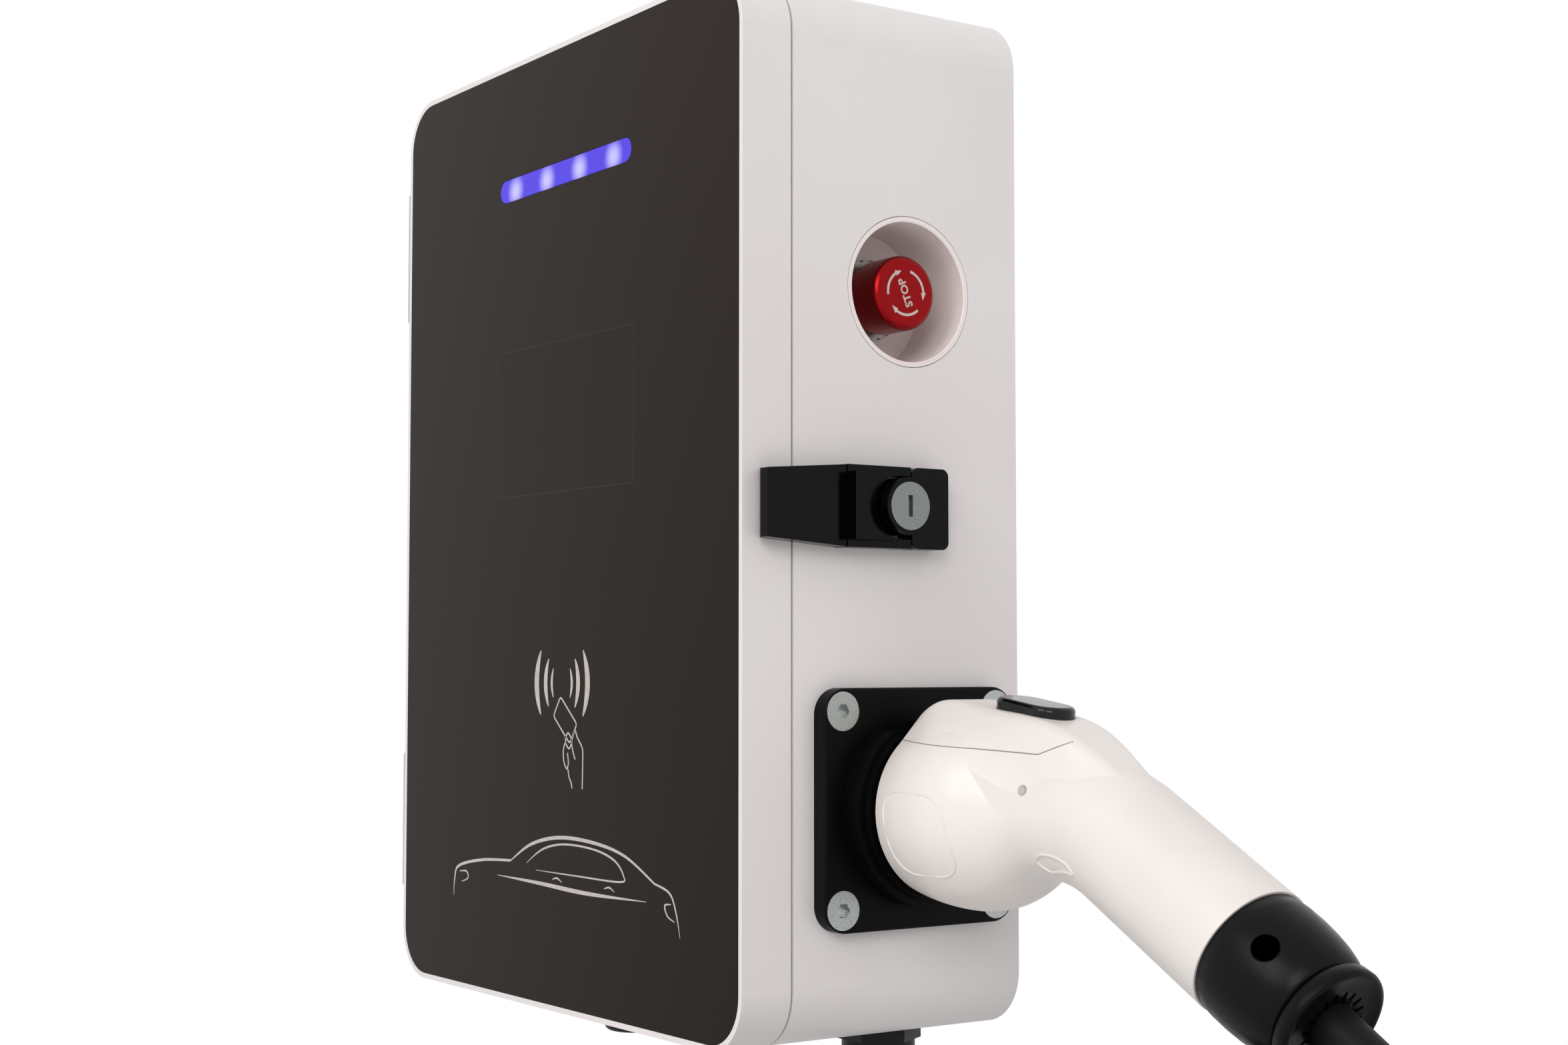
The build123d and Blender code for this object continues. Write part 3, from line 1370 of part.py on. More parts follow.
with BuildPart() as power_supply:
    with BuildSketch(from_wall(plate_front)):
        with Locations(supply_place):
            Rectangle(supply_width, supply_height)
    extrude(amount=supply_rise)
    with BuildSketch(from_wall(plate_front + supply_rise)):
        with Locations(supply_place):
            with GridLocations(vent_pitch, 0, vent_count, 1):
                SlotOverall(supply_height / 2, vent_width, rotation=90)
    extrude(amount=-supply_sheet, mode=Mode.SUBTRACT)
power_supply.part.label = "power_supply"
export_step(power_supply.part, "parts/power_supply.step")

with BuildPart() as terminal_strip:
    with BuildSketch(from_wall(plate_front)):
        with Locations(strip_place):
            Rectangle(strip_width, strip_height)
    extrude(amount=strip_rise)
    with BuildSketch(from_wall(plate_front + strip_rise)):
        with Locations(strip_place):
            with GridLocations(strip_width / strip_ways, strip_height / 2, strip_ways, 2):
                Circle(strip_cut)
    extrude(amount=-2 * strip_cut, mode=Mode.SUBTRACT)
terminal_strip.part.label = "terminal_strip"
export_step(terminal_strip.part, "parts/terminal_strip.step")

with BuildPart() as earth_bar:
    with BuildSketch(from_wall(plate_front)):
        with Locations(earth_place):
            with GridLocations(earth_width - earth_height, 0, 2, 1):
                Rectangle(earth_height, earth_height)
    extrude(amount=earth_stand)
    with BuildSketch(from_wall(plate_front + earth_stand)):
        with Locations(earth_place):
            Rectangle(earth_width, earth_height)
            with GridLocations(earth_height, 0, strip_ways, 1):
                Circle(earth_hole, mode=Mode.SUBTRACT)
    extrude(amount=earth_rise)
earth_bar.part.label = "earth_bar"
export_step(earth_bar.part, "parts/earth_bar.step")

# The charging cable leaves the gun's tail, hangs in a tied coil below the cabinet and goes
# back up into the outlet gland.
coil_radius = 96.0
coil_layers = 3
coil_centre = (281.2, row_y, -358.0)
coil_size = coil_layers * 2 * cable_radius
tie_width = 20.0
tie_thickness = 2.0
axis_run = cap_length + gland_height - gland_recess + running_gap
tail_start = gun_point(grip_end + axis_run * cos(radians(grip_tilt)),
                       -grip_end_drop - axis_run * sin(radians(grip_tilt)))
gland_start = (outlet_x, outlet_y,
               -half_height - gland_hex_height - gland_dome_height + gland_recess
               - running_gap)
gun_route = [
    tail_start,
    (387.8, row_y, -190.25),
    (422.2, row_y, -239.3),
    (433.5, row_y, -303.3),
    (422.2, row_y, -367.3),
    (390.4, row_y, -418.2),
    (345.4, row_y, -449.7),
]
box_route = [
    gland_start,
    (98.0, outlet_y, -262.0),
    (131.0, outlet_y, -324.5),
    (179.7, outlet_y, -405.3),
]


def bend_radii(name, points):
    """The largest radius that each corner's two runs allow, printed for a check."""
    corners = [Vector(*point) for point in points]
    runs = [b - a for a, b in zip(corners, corners[1:])]
    radii = []
    for before, after in zip(runs, runs[1:]):
        half_turn = radians(before.get_angle(after)) / 2
        radii.append(0.45 * min(before.length, after.length) / tan(half_turn))
    print(name, "radii", [round(radius) for radius in radii])
    return radii


for name, route in (("cable_to_gun", gun_route), ("cable_to_box", box_route)):
    radii = bend_radii(name, route)
    with BuildPart() as cable:
        with BuildLine() as path:
            FilletPolyline(*route, radius=radii)
        start = Vector(*route[0])
        heading = Vector(*route[1]) - start
        with BuildSketch(Plane(origin=start, z_dir=heading)):
            Circle(cable_radius)
        sweep(path=path.wires()[0])
    length = path.wires()[0].length
    print(name, "length", round(length), "volume ratio",
          round(cable.part.volume / (pi * cable_radius ** 2 * length), 4))
    cable.part.label = name
    export_step(cable.part, "parts/" + name + ".step")

with BuildPart() as cable_coil:
    with BuildSketch(Plane(origin=coil_centre, x_dir=(1, 0, 0), z_dir=(0, 0, 1))):
        with Locations((coil_radius, 0)):
            RectangleRounded(coil_size, coil_size, cable_radius)
    revolve(axis=Axis(coil_centre, (0, 1, 0)))
cable_coil.part.label = "cable_coil"
export_step(cable_coil.part, "parts/cable_coil.step")

coil_sag = tie_width ** 2 / (8 * (coil_radius - coil_size / 2))
with BuildPart() as coil_tie:
    with BuildSketch(Plane.YZ.offset(coil_centre[0] - tie_width / 2)):
        with Locations((row_y, coil_centre[2] + coil_radius - coil_sag / 2)):
            Rectangle(coil_size + 2 * (seat_gap + tie_thickness),
                      coil_size + coil_sag + 2 * (seat_gap + tie_thickness))
            Rectangle(coil_size + 2 * seat_gap, coil_size + coil_sag + 2 * seat_gap,
                      mode=Mode.SUBTRACT)
    extrude(amount=tie_width)
coil_tie.part.label = "coil_tie"
export_step(coil_tie.part, "parts/coil_tie.step")
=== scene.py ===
# %% [markdown]
# A wall charger for electric cars, dressed for its portrait.
# The solids of the charger come packed as a fixed frame, in metres: X runs right along the
# wall, Y runs into the wall, Z is up, and the origin is the centre of the four wall bolts.
# This script gives every solid its finish, lays the charging cable along its route, prints
# the marks on the door and the stop button, and sets the light and the camera.

# %% Load the solids
import json
from math import cos, pi, radians, sin

import bmesh
import bpy
from mathutils import Matrix, Vector
from mathutils.bvhtree import BVHTree


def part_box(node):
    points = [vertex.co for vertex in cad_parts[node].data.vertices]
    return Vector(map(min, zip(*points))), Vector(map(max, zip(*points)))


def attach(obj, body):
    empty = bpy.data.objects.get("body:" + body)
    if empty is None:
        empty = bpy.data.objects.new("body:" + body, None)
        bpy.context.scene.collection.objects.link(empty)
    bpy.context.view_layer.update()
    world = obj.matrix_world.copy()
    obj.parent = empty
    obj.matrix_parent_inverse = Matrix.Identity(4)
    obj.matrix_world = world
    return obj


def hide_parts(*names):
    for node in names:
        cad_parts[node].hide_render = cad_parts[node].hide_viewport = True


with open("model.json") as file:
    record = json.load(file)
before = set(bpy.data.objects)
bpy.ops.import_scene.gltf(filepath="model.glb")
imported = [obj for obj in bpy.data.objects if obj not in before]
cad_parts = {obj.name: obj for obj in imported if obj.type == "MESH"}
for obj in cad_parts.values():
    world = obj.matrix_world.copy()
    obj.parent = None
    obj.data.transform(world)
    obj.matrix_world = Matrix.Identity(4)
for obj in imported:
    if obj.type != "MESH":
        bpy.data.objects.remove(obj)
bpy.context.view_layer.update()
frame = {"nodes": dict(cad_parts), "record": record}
nodes = frame["nodes"]

MM = 0.001


def node_centre(name):
    low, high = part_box(name)
    return (low + high) / 2


# %% [markdown]
# The camera stands to the right of the charger, a little below its middle, and looks
# slightly up and to the left, so that the door is seen at a slant and the side nearly
# square. The lens is a short telephoto. These are the values at which the cabinet's
# corners, the door's edge and the holster's bolts fall where the photograph has them.

# %% Camera
CAMERA_PLACE = (0.8289, -0.5886, -0.0571)
CAMERA_PITCH = radians(90 + 3.44)
CAMERA_HEADING = radians(55.30)
CAMERA_LENS = 52.49

camera_data = bpy.data.cameras.new("camera")
camera_data.lens = CAMERA_LENS
camera_data.sensor_width = 36.0
camera_data.clip_start = 0.01
camera = bpy.data.objects.new("camera", camera_data)
camera.location = CAMERA_PLACE
camera.rotation_euler = (CAMERA_PITCH, 0, CAMERA_HEADING)
bpy.context.scene.collection.objects.link(camera)
bpy.context.scene.camera = camera
print("camera at", CAMERA_PLACE)

# %% [markdown]
# Three small helpers carry all the materials. One turns a colour written as a hex value
# into the linear numbers that Blender mixes. One adds a node, sets its inputs and joins
# its links. One starts a material from the shader that most finishes need, with the
# values that are the same all over set on the shader's own sockets.


# %% Helpers for materials
def linear(hex_colour):
    """A colour such as 'E3DEDD' as linear red, green, blue and alpha."""
    parts = [int(hex_colour[i:i + 2], 16) / 255 for i in (0, 2, 4)]
    bent = [p / 12.92 if p <= 0.04045 else ((p + 0.055) / 1.055) ** 2.4 for p in parts]
    return (*bent, 1.0)


def add_node(material, kind, inputs=None, **settings):
    """Adds a node. An input is a value, or the output socket that feeds it."""
    made = material.node_tree.nodes.new(kind)
    for setting, value in settings.items():
        setattr(made, setting, value)
    for socket, value in (inputs or {}).items():
        if isinstance(value, bpy.types.NodeSocket):
            material.node_tree.links.new(value, made.inputs[socket])
        else:
            made.inputs[socket].default_value = value
    return made


def new_material(name, colour, roughness, metallic=0.0, **sockets):
    """A material with one principled shader, and that shader."""
    material = bpy.data.materials.new(name)
    material.use_nodes = True
    shader = material.node_tree.nodes["Principled BSDF"]
    shader.inputs["Base Color"].default_value = linear(colour)
    shader.inputs["Roughness"].default_value = roughness
    shader.inputs["Metallic"].default_value = metallic
    for socket, value in sockets.items():
        shader.inputs[socket.replace("_", " ")].default_value = value
    return material, shader


def place_on_object(material):
    """The place on the object in metres, as an output socket."""
    return add_node(material, "ShaderNodeTexCoord").outputs["Object"]


def noise(material, grain_mm, detail=2.0, stretch=(1, 1, 1)):
    """Noise whose grains are about grain_mm across, as an output socket."""
    scaled = add_node(material, "ShaderNodeMapping",
                      {"Vector": place_on_object(material), "Scale": stretch})
    return add_node(material, "ShaderNodeTexNoise",
                    {"Vector": scaled.outputs["Vector"], "Scale": 1 / (grain_mm * MM),
                     "Detail": detail}).outputs["Fac"]


def bump(material, shader, height, depth_mm, strength=1.0):
    """Raises the surface by a pattern, depth_mm high."""
    raised = add_node(material, "ShaderNodeBump",
                      {"Height": height, "Distance": depth_mm * MM, "Strength": strength})
    material.node_tree.links.new(raised.outputs["Normal"], shader.inputs["Normal"])


def spread(material, pattern, low, high):
    """A pattern of 0.35 to 0.65 spread over the values low to high."""
    return add_node(material, "ShaderNodeMapRange",
                    {"Value": pattern, "From Min": 0.35, "From Max": 0.65,
                     "To Min": low, "To Max": high}).outputs["Result"]


def mix_colours(material, share, first, second):
    """first where share is 0 and second where it is 1."""
    return add_node(material, "ShaderNodeMix", {0: share, 6: first, 7: second},
                    data_type="RGBA").outputs[2]


def link_to(material, output, shader, socket):
    material.node_tree.links.new(output, shader.inputs[socket])


# %% [markdown]
# The charging cable is one stiff rubber hose of 16 mm. It leaves the nut at the gun's
# tail, swings down in a wide bow, runs seven and a quarter turns round a tied coil, and
# goes back up into the gland under the cabinet. It could be a swept mesh, but a curve with
# a round bevel keeps its line smooth at any zoom and needs only the points of its route.
# The coil's turns are points of the same curve. They lie in three layers of three, and
# each turn leaves its place a little earlier than the one before, so that no two strands
# ever want the same room.

# %% Charging cable: the route
CABLE_DIAMETER = 16 * MM
ROW_Y = -53.2 * MM
OUTLET_Y = -37.2 * MM

gun_side = [(344.15, -165.96), (387.8, -190.25), (422.2, -239.3), (433.5, -303.3),
            (422.2, -367.3), (390.4, -418.2)]
box_side = [(131.0, -324.5), (98.0, -262.0), (98.0, -216.05)]

COIL_CENTRE = Vector((281.2 * MM, ROW_Y, -358.0 * MM))
COIL_RADIUS = 96 * MM
COIL_STEP = CABLE_DIAMETER
ENTRY_ANGLE = -55
TRAVEL = 2620
FIRST_SHIFT = 310
SHIFT_EVERY = 330
SHIFT_WIDTH = 30
POINT_EVERY = 10
# Each track is (steps outward from the middle radius, steps back from the middle layer).
TRACKS = [(1, 0), (1, -1), (0, -1), (-1, -1), (-1, 0), (-1, 1), (0, 1), (1, 1)]


def coil_point(travel):
    """A point of the coil's spline after this many degrees of travel."""
    track = 0.0
    for shift in range(len(TRACKS) - 1):
        share = (travel - FIRST_SHIFT - shift * SHIFT_EVERY) / SHIFT_WIDTH
        share = min(max(share, 0.0), 1.0)
        track += share * share * (3 - 2 * share)
    before = TRACKS[int(track)]
    after = TRACKS[min(int(track) + 1, len(TRACKS) - 1)]
    part = track - int(track)
    out = before[0] + (after[0] - before[0]) * part
    back = before[1] + (after[1] - before[1]) * part
    # A quadratic spline passes inside its points, so they stand a little further out.
    inside = (3 + cos(radians(POINT_EVERY))) / 4
    radius = (COIL_RADIUS + out * COIL_STEP) / inside
    angle = radians(ENTRY_ANGLE - travel)
    return COIL_CENTRE + Vector((radius * cos(angle), back * COIL_STEP, radius * sin(angle)))


route = [Vector((x * MM, ROW_Y, z * MM)) for x, z in gun_side]
route += [coil_point(travel) for travel in range(0, TRAVEL + 1, POINT_EVERY)]
route += [Vector((x * MM, OUTLET_Y, z * MM)) for x, z in box_side]
print("cable route:", len(route), "points")


# %% Charging cable: the curve
cable_curve = bpy.data.curves.new("charging_cable", "CURVE")
cable_curve.dimensions = "3D"
# The bevel is one metre deep and each point's radius brings it down to the cable's own,
# because Blender grows a curve's box by its points' radius.
cable_curve.bevel_depth = 1.0
cable_curve.bevel_resolution = 6
cable_curve.resolution_u = 4
cable_curve.use_fill_caps = True
spline = cable_curve.splines.new("NURBS")
spline.points.add(len(route) - 1)
for point, place in zip(spline.points, route):
    point.co = (*place, 1.0)
    point.radius = CABLE_DIAMETER / 2
spline.order_u = 3
spline.use_endpoint_u = True
cable = bpy.data.objects.new("charging_cable", cable_curve)
bpy.context.scene.collection.objects.link(cable)
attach(cable, "cabinet")
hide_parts("cable_to_gun", "cable_coil", "cable_to_box")

# %% [markdown]
# The cabinet and the door are powder-coated steel sheet: a warm white, satin, with the
# faint orange peel that powder leaves, which breaks up the light only close by. Its
# waves are a millimetre or two wide. A very slow drift in tone stands for the uneven
# thickness of the coat.


# %% Powder coat
def powder_coat(name, colour, shade, roughness=0.42):
    material, shader = new_material(name, colour, roughness)
    drift = spread(material, noise(material, 120), 0, 1)
    link_to(material, mix_colours(material, drift, linear(colour), linear(shade)),
            shader, "Base Color")
    gloss = spread(material, noise(material, 9), roughness - 0.05, roughness + 0.05)
    link_to(material, gloss, shader, "Roughness")
    bump(material, shader, noise(material, 1.6), 0.03, 0.5)
    return material


cabinet_white = powder_coat("powder_coated_steel", "E4DFDE", "DFD9D8")
pot_white = powder_coat("painted_pot", "EEE4E1", "E8DDDA", 0.34)

# %% [markdown]
# The front is a sheet of smoked acrylic, printed black from behind. It shows warm black,
# with hardly any mirror image, so its specular level is low. The display behind it is
# only a window a shade cooler than the rest, with a hairline round it.

# %% Smoked acrylic front
SCREEN_CENTRE = (6.5 * MM, 43.5 * MM)
SCREEN_HALF = (56.5 * MM, 31.5 * MM)
HAIRLINE = 0.5 * MM


def axis_distance(material, coordinate, centre, half):
    """How far a coordinate lies inside a band, in metres, negative outside it."""
    apart = add_node(material, "ShaderNodeMath", {0: coordinate, 1: centre},
                     operation="SUBTRACT")
    size = add_node(material, "ShaderNodeMath", {0: apart.outputs[0]}, operation="ABSOLUTE")
    return add_node(material, "ShaderNodeMath", {0: half, 1: size.outputs[0]},
                    operation="SUBTRACT").outputs[0]


def smoked_acrylic():
    material, shader = new_material("smoked_acrylic", "1C1512", 0.3, IOR=1.2,
                                    Specular_IOR_Level=0.3)
    split = add_node(material, "ShaderNodeSeparateXYZ", {0: place_on_object(material)})
    across = axis_distance(material, split.outputs["X"], SCREEN_CENTRE[0], SCREEN_HALF[0])
    up = axis_distance(material, split.outputs["Z"], SCREEN_CENTRE[1], SCREEN_HALF[1])
    depth = add_node(material, "ShaderNodeMath", {0: across, 1: up}, operation="MINIMUM")
    window = add_node(material, "ShaderNodeMath", {0: depth.outputs[0], 1: 0.0},
                      operation="GREATER_THAN").outputs[0]
    inner = add_node(material, "ShaderNodeMath", {0: depth.outputs[0], 1: HAIRLINE},
                     operation="GREATER_THAN").outputs[0]
    # Painted light: the panel's black is lighter towards the top and darker towards the bottom,
    # as the light falls on the door.
    painted_light_rise = add_node(material, "ShaderNodeMapRange",
                    {"Value": split.outputs["Z"], "From Min": -0.2, "From Max": 0.2,
                     "To Min": 0.0, "To Max": 1.0}).outputs["Result"]
    panel_painted_light = mix_colours(material, painted_light_rise, linear("1A1310"), linear("271F1B"))
    edge = mix_colours(material, window, panel_painted_light, linear("302825"))
    link_to(material, mix_colours(material, inner, edge, linear("211A17")),
            shader, "Base Color")
    bump(material, shader, noise(material, 60), 0.15, 0.3)
    return material


panel_black = smoked_acrylic()

# %% [markdown]
# The status lamp is a bar of frosted acrylic with four diodes behind it. Each diode
# shows as a pale blot that fades to violet. The glow is the sum of four soft spots, worked
# out from the place on the bar, and the bar gives off its own light.

# %% Lit acrylic
LAMP_COUNT = 4
lamp_centre = node_centre("lamp_guide")
LAMP_PITCH = 27.5 * MM
SPOT_RADIUS = 8.5 * MM
SPOT_CORE = 0.5 * MM
SPOT_DROP = 1.0 * MM
GLOW = 0.9


def lit_acrylic():
    material, shader = new_material("lit_acrylic", "2A2170", 0.25, Specular_IOR_Level=0.15)
    split = add_node(material, "ShaderNodeSeparateXYZ", {0: place_on_object(material)})
    total = None
    for index in range(LAMP_COUNT):
        lamp_x = lamp_centre.x + (index - (LAMP_COUNT - 1) / 2) * LAMP_PITCH
        flat = add_node(material, "ShaderNodeCombineXYZ",
                        {"X": split.outputs["X"], "Y": 0.0, "Z": split.outputs["Z"]})
        away = add_node(material, "ShaderNodeVectorMath",
                        {0: flat.outputs[0], 1: (lamp_x, 0.0, lamp_centre.z - SPOT_DROP)},
                        operation="DISTANCE")
        spot = add_node(material, "ShaderNodeMapRange",
                        {"Value": away.outputs["Value"], "From Min": SPOT_CORE,
                         "From Max": SPOT_RADIUS, "To Min": 1.0, "To Max": 0.0},
                        interpolation_type="SMOOTHSTEP").outputs["Result"]
        total = spot if total is None else add_node(
            material, "ShaderNodeMath", {0: total, 1: spot}, operation="MAXIMUM").outputs[0]
    glow = mix_colours(material, total, linear("4632D6"), linear("CFCBFF"))
    link_to(material, glow, shader, "Emission Color")
    shader.inputs["Emission Strength"].default_value = GLOW
    return material


lamp_violet = lit_acrylic()

# %% [markdown]
# The hasp and its lock are die-cast zinc under a hard gloss black lacquer, with edges that
# catch a thin bright line. The lock's disc is bare zinc, faced on a lathe: its tool marks
# are rings, so its gloss is stretched round the centre.


# %% Lacquered and turned metal
def gloss_lacquer():
    material, shader = new_material("black_lacquered_zinc", "030304", 0.16,
                                    Specular_IOR_Level=0.12)
    gloss = spread(material, noise(material, 14), 0.12, 0.24)
    link_to(material, gloss, shader, "Roughness")
    bump(material, shader, noise(material, 3.5), 0.04, 0.35)
    return material


def satin_metal(name, colour, shade, roughness, grain_mm=0.5, stretch=(1, 1, 1)):
    """A metal whose brushing is grain_mm wide, stretched along an axis."""
    material, shader = new_material(name, colour, roughness, 1.0)
    grain = noise(material, grain_mm, 3.0, stretch)
    link_to(material, mix_colours(material, spread(material, grain, 0, 1),
                                  linear(colour), linear(shade)), shader, "Base Color")
    link_to(material, spread(material, grain, roughness - 0.08, roughness + 0.08),
            shader, "Roughness")
    bump(material, shader, grain, 0.02, 0.35)
    return material


lock_black = gloss_lacquer()
lock_zinc = satin_metal("turned_zinc", "8A8F8D", "7A807E", 0.42, 0.6, (0.2, 1, 1))
hinge_steel = satin_metal("brushed_steel", "C4C6C8", "B4B7BA", 0.36, 0.4, (1, 1, 0.05))
collar_nickel = satin_metal("nickel_plate", "8F8B88", "7E7A77", 0.3, 0.5)
bolt_steel = satin_metal("zinc_plated_steel", "B4B8B6", "A2A7A5", 0.38, 0.5)
plate_zinc = satin_metal("galvanised_sheet", "BFC4C8", "A9AFB5", 0.45, 9.0)
contact_brass = satin_metal("silvered_brass", "D8BE7C", "C8AA62", 0.3, 0.4)

# %% [markdown]
# The stop button's head is turned aluminium, anodised red. Anodising leaves the metal's
# own soft glare and tints it, so the shader is metallic with a deep red, and a thin clear
# coat adds the small sharp lights of the polished shoulder.


# %% Anodised red
def anodised_red():
    material, shader = new_material("anodised_aluminium", "8C060C", 0.3, 1.0,
                                    Coat_Weight=0.15, Coat_Roughness=0.12)
    turned = noise(material, 0.4, 2.0, (0.1, 1, 1))
    link_to(material, spread(material, turned, 0.26, 0.36), shader, "Roughness")
    bump(material, shader, turned, 0.01, 0.25)
    return material


stop_red = anodised_red()

# %% [markdown]
# Four plastics make the rest of what shows. The gun is moulded in a warm white blend with
# a silky gloss. Its tail, nut and button are black and slightly rough. The holster is a
# black nylon filled with glass, duller, with a fine spark-eroded grain. The glands are the
# same nylon, dark grey. The cable's jacket is a soft rubber that sheds light evenly.


# %% Moulded plastics
def moulded(name, colour, shade, roughness, grain_mm, depth_mm, **sockets):
    """A moulded plastic with a slow drift in tone and a mould grain."""
    material, shader = new_material(name, colour, roughness, **sockets)
    drift = spread(material, noise(material, 45), 0, 1)
    link_to(material, mix_colours(material, drift, linear(colour), linear(shade)),
            shader, "Base Color")
    link_to(material, spread(material, noise(material, 6), roughness - 0.04,
                             roughness + 0.04), shader, "Roughness")
    bump(material, shader, noise(material, grain_mm), depth_mm, 0.4)
    return material


# Pure black without gloss for the cable nut's slots: painted shadow in their hollows.
slot_shadow_black, _ = new_material("painted_slot_shadow", "020202", 0.9, Specular_IOR_Level=0.0)


def pit_with_painted_shade(material, shader, place, radius, softness, height_mm, colour):
    """Sinks a round pit in a finish, darkened by painted shade, and returns its mask."""
    away = add_node(material, "ShaderNodeVectorMath",
                    {0: place_on_object(material), 1: tuple(v * MM for v in place)},
                    operation="DISTANCE").outputs["Value"]
    pit_and_shade_mask = add_node(material, "ShaderNodeMapRange",
                    {"Value": away, "From Min": (radius - softness) * MM,
                     "From Max": radius * MM, "To Min": 1.0, "To Max": 0.0},
                    interpolation_type="SMOOTHSTEP").outputs["Result"]
    # Painted shade: the colour inside the pit is mixed towards a darker one, for the shade in
    # its hollow.
    before = shader.inputs["Base Color"].links[0].from_socket
    link_to(material, mix_colours(material, pit_and_shade_mask, before, linear(colour)), shader, "Base Color")
    first = shader.inputs["Normal"].links[0].from_socket
    sunk = add_node(material, "ShaderNodeBump",
                    {"Height": pit_and_shade_mask, "Distance": height_mm * MM, "Normal": first}, invert=True)
    link_to(material, sunk.outputs["Normal"], shader, "Normal")
    return pit_and_shade_mask


gun_white = moulded("white_plastic", "E8E1DC", "E3DBD6", 0.33, 1.8, 0.02)
# The dimple on the gun: a sunk pit with painted shade in it.
pit_with_painted_shade(gun_white, gun_white.node_tree.nodes["Principled BSDF"], (229.3, -74.5, -101.7),
    2.3, 1.2, 0.8, "B9B1AC")
tail_black = moulded("black_plastic_cap", "0B0A0C", "080709", 0.3, 1.2, 0.02,
                     Specular_IOR_Level=0.12)
tail_shader = tail_black.node_tree.nodes["Principled BSDF"]
# The tail's hole is a shallow sunk disc painted pure black, with its gloss taken away: painted
# shadow for the deep hole.
hole_painted_shadow = pit_with_painted_shade(tail_black, tail_shader, (336.4, -70.0, -144.2), 4.8, 0.6, 1.5, "000000")
gloss_off_in_painted_hole = add_node(tail_black, "ShaderNodeMapRange",
                      {"Value": hole_painted_shadow, "To Min": 0.12, "To Max": 0.0}).outputs["Result"]
link_to(tail_black, gloss_off_in_painted_hole, tail_shader, "Specular IOR Level")
gun_black = moulded("black_plastic", "0B0A0C", "080709", 0.34, 1.2, 0.02,
                    Specular_IOR_Level=0.1)
button_black = moulded("polished_black_plastic", "08080A", "060608", 0.14, 6.0, 0.01,
                       Specular_IOR_Level=0.3)
holster_black = moulded("glass_filled_nylon", "040404", "060606", 0.42, 0.9, 0.04,
                        Specular_IOR_Level=0.08)
gland_grey = moulded("dark_nylon", "1C1D1F", "17181A", 0.45, 0.9, 0.03,
                     Specular_IOR_Level=0.15)
device_grey = moulded("grey_plastic", "C9CBCC", "BFC1C3", 0.5, 0.8, 0.03)
toggle_black = moulded("black_switch_plastic", "1A1A1C", "151517", 0.4, 0.8, 0.02)
cable_black = moulded("rubber_jacket", "0C0B0D", "111012", 0.5, 1.4, 0.04,
                      Specular_IOR_Level=0.15)
seal_rubber = moulded("foam_rubber", "1B1B1C", "121213", 0.8, 0.7, 0.1)
screen_glass = moulded("display_glass", "0C0D10", "101115", 0.08, 30.0, 0.01)

# %% [markdown]
# The strap round the coil is woven nylon tape with a hooked face: a dull black whose warp
# and weft show as a fine check. The circuit boards are green glass laminate under a
# glossy solder mask, with copper tracks that show as a slightly lighter maze.


# %% Woven tape and circuit board
def woven_tape():
    thread_mm = 1.2
    material, shader = new_material("woven_tape", "121213", 0.75, Sheen_Weight=0.25)
    waves = [add_node(material, "ShaderNodeTexWave",
                      {"Vector": place_on_object(material), "Scale": 1 / (thread_mm * MM * 20),
                       "Distortion": 0.4, "Detail": 1.0},
                      bands_direction=direction).outputs["Fac"] for direction in ("X", "Z")]
    check = add_node(material, "ShaderNodeMath", {0: waves[0], 1: waves[1]},
                     operation="MULTIPLY").outputs[0]
    link_to(material, mix_colours(material, check, linear("0D0D0E"), linear("2A2A2C")),
            shader, "Base Color")
    bump(material, shader, check, 0.25, 0.6)
    return material


def circuit_board():
    material, shader = new_material("circuit_board", "0E4A2A", 0.28)
    cells = add_node(material, "ShaderNodeTexVoronoi",
                     {"Vector": place_on_object(material), "Scale": 1 / (4 * MM)},
                     distance="MANHATTAN", feature="F1").outputs["Distance"]
    track = add_node(material, "ShaderNodeMath", {0: cells, 1: 0.55},
                     operation="GREATER_THAN").outputs[0]
    link_to(material, mix_colours(material, track, linear("0E4A2A"), linear("1C6B40")),
            shader, "Base Color")
    bump(material, shader, track, 0.05, 0.5)
    return material


tie_black = woven_tape()
board_green = circuit_board()

# %% [markdown]
# Every solid now gets the finish that the real piece has. The record of the part names a
# material slot for each solid, so one table from slot to finish dresses them all, and a
# few solids that differ from the others in their slot are named after it.

# %% Dress the solids
FINISHES = {
    "cabinet_white": cabinet_white, "panel_black": panel_black, "screen_glass": screen_glass,
    "lamp_violet": lamp_violet, "board_green": board_green, "seal_rubber": seal_rubber,
    "hinge_steel": hinge_steel, "lock_black": lock_black, "lock_zinc": lock_zinc,
    "pot_white": pot_white, "collar_nickel": collar_nickel, "stop_red": stop_red,
    "holster_black": holster_black, "bolt_steel": bolt_steel, "gun_white": gun_white,
    "gun_black": gun_black, "contact_brass": contact_brass, "gland_grey": gland_grey,
    "plate_zinc": plate_zinc, "device_grey": device_grey, "toggle_black": toggle_black,
    "cable_black": cable_black, "tie_black": tie_black,
}
slot_of = {row["node"]: row["material_slot"] for row in frame["record"]["subparts"]}
own_finish = {"gun_button": button_black}
for name, solid in nodes.items():
    finish = own_finish.get(name, FINISHES[slot_of[name]])
    solid.data.materials.clear()
    solid.data.materials.append(finish)
cable_curve.materials.append(cable_black)
print("dressed:", len(nodes), "solids in", len(FINISHES), "finishes")

# %% [markdown]
# The marks on the door and on the stop button are screen print: a film of pale ink a
# tenth of a millimetre thick. They could be a picture on the panel, but a picture blurs
# close by and gets lost when the part is used elsewhere. So every stroke is a thin solid
# ribbon. It is laid out flat in millimetres, from points that say where the stroke runs
# and how wide it is there, and then set on its face.

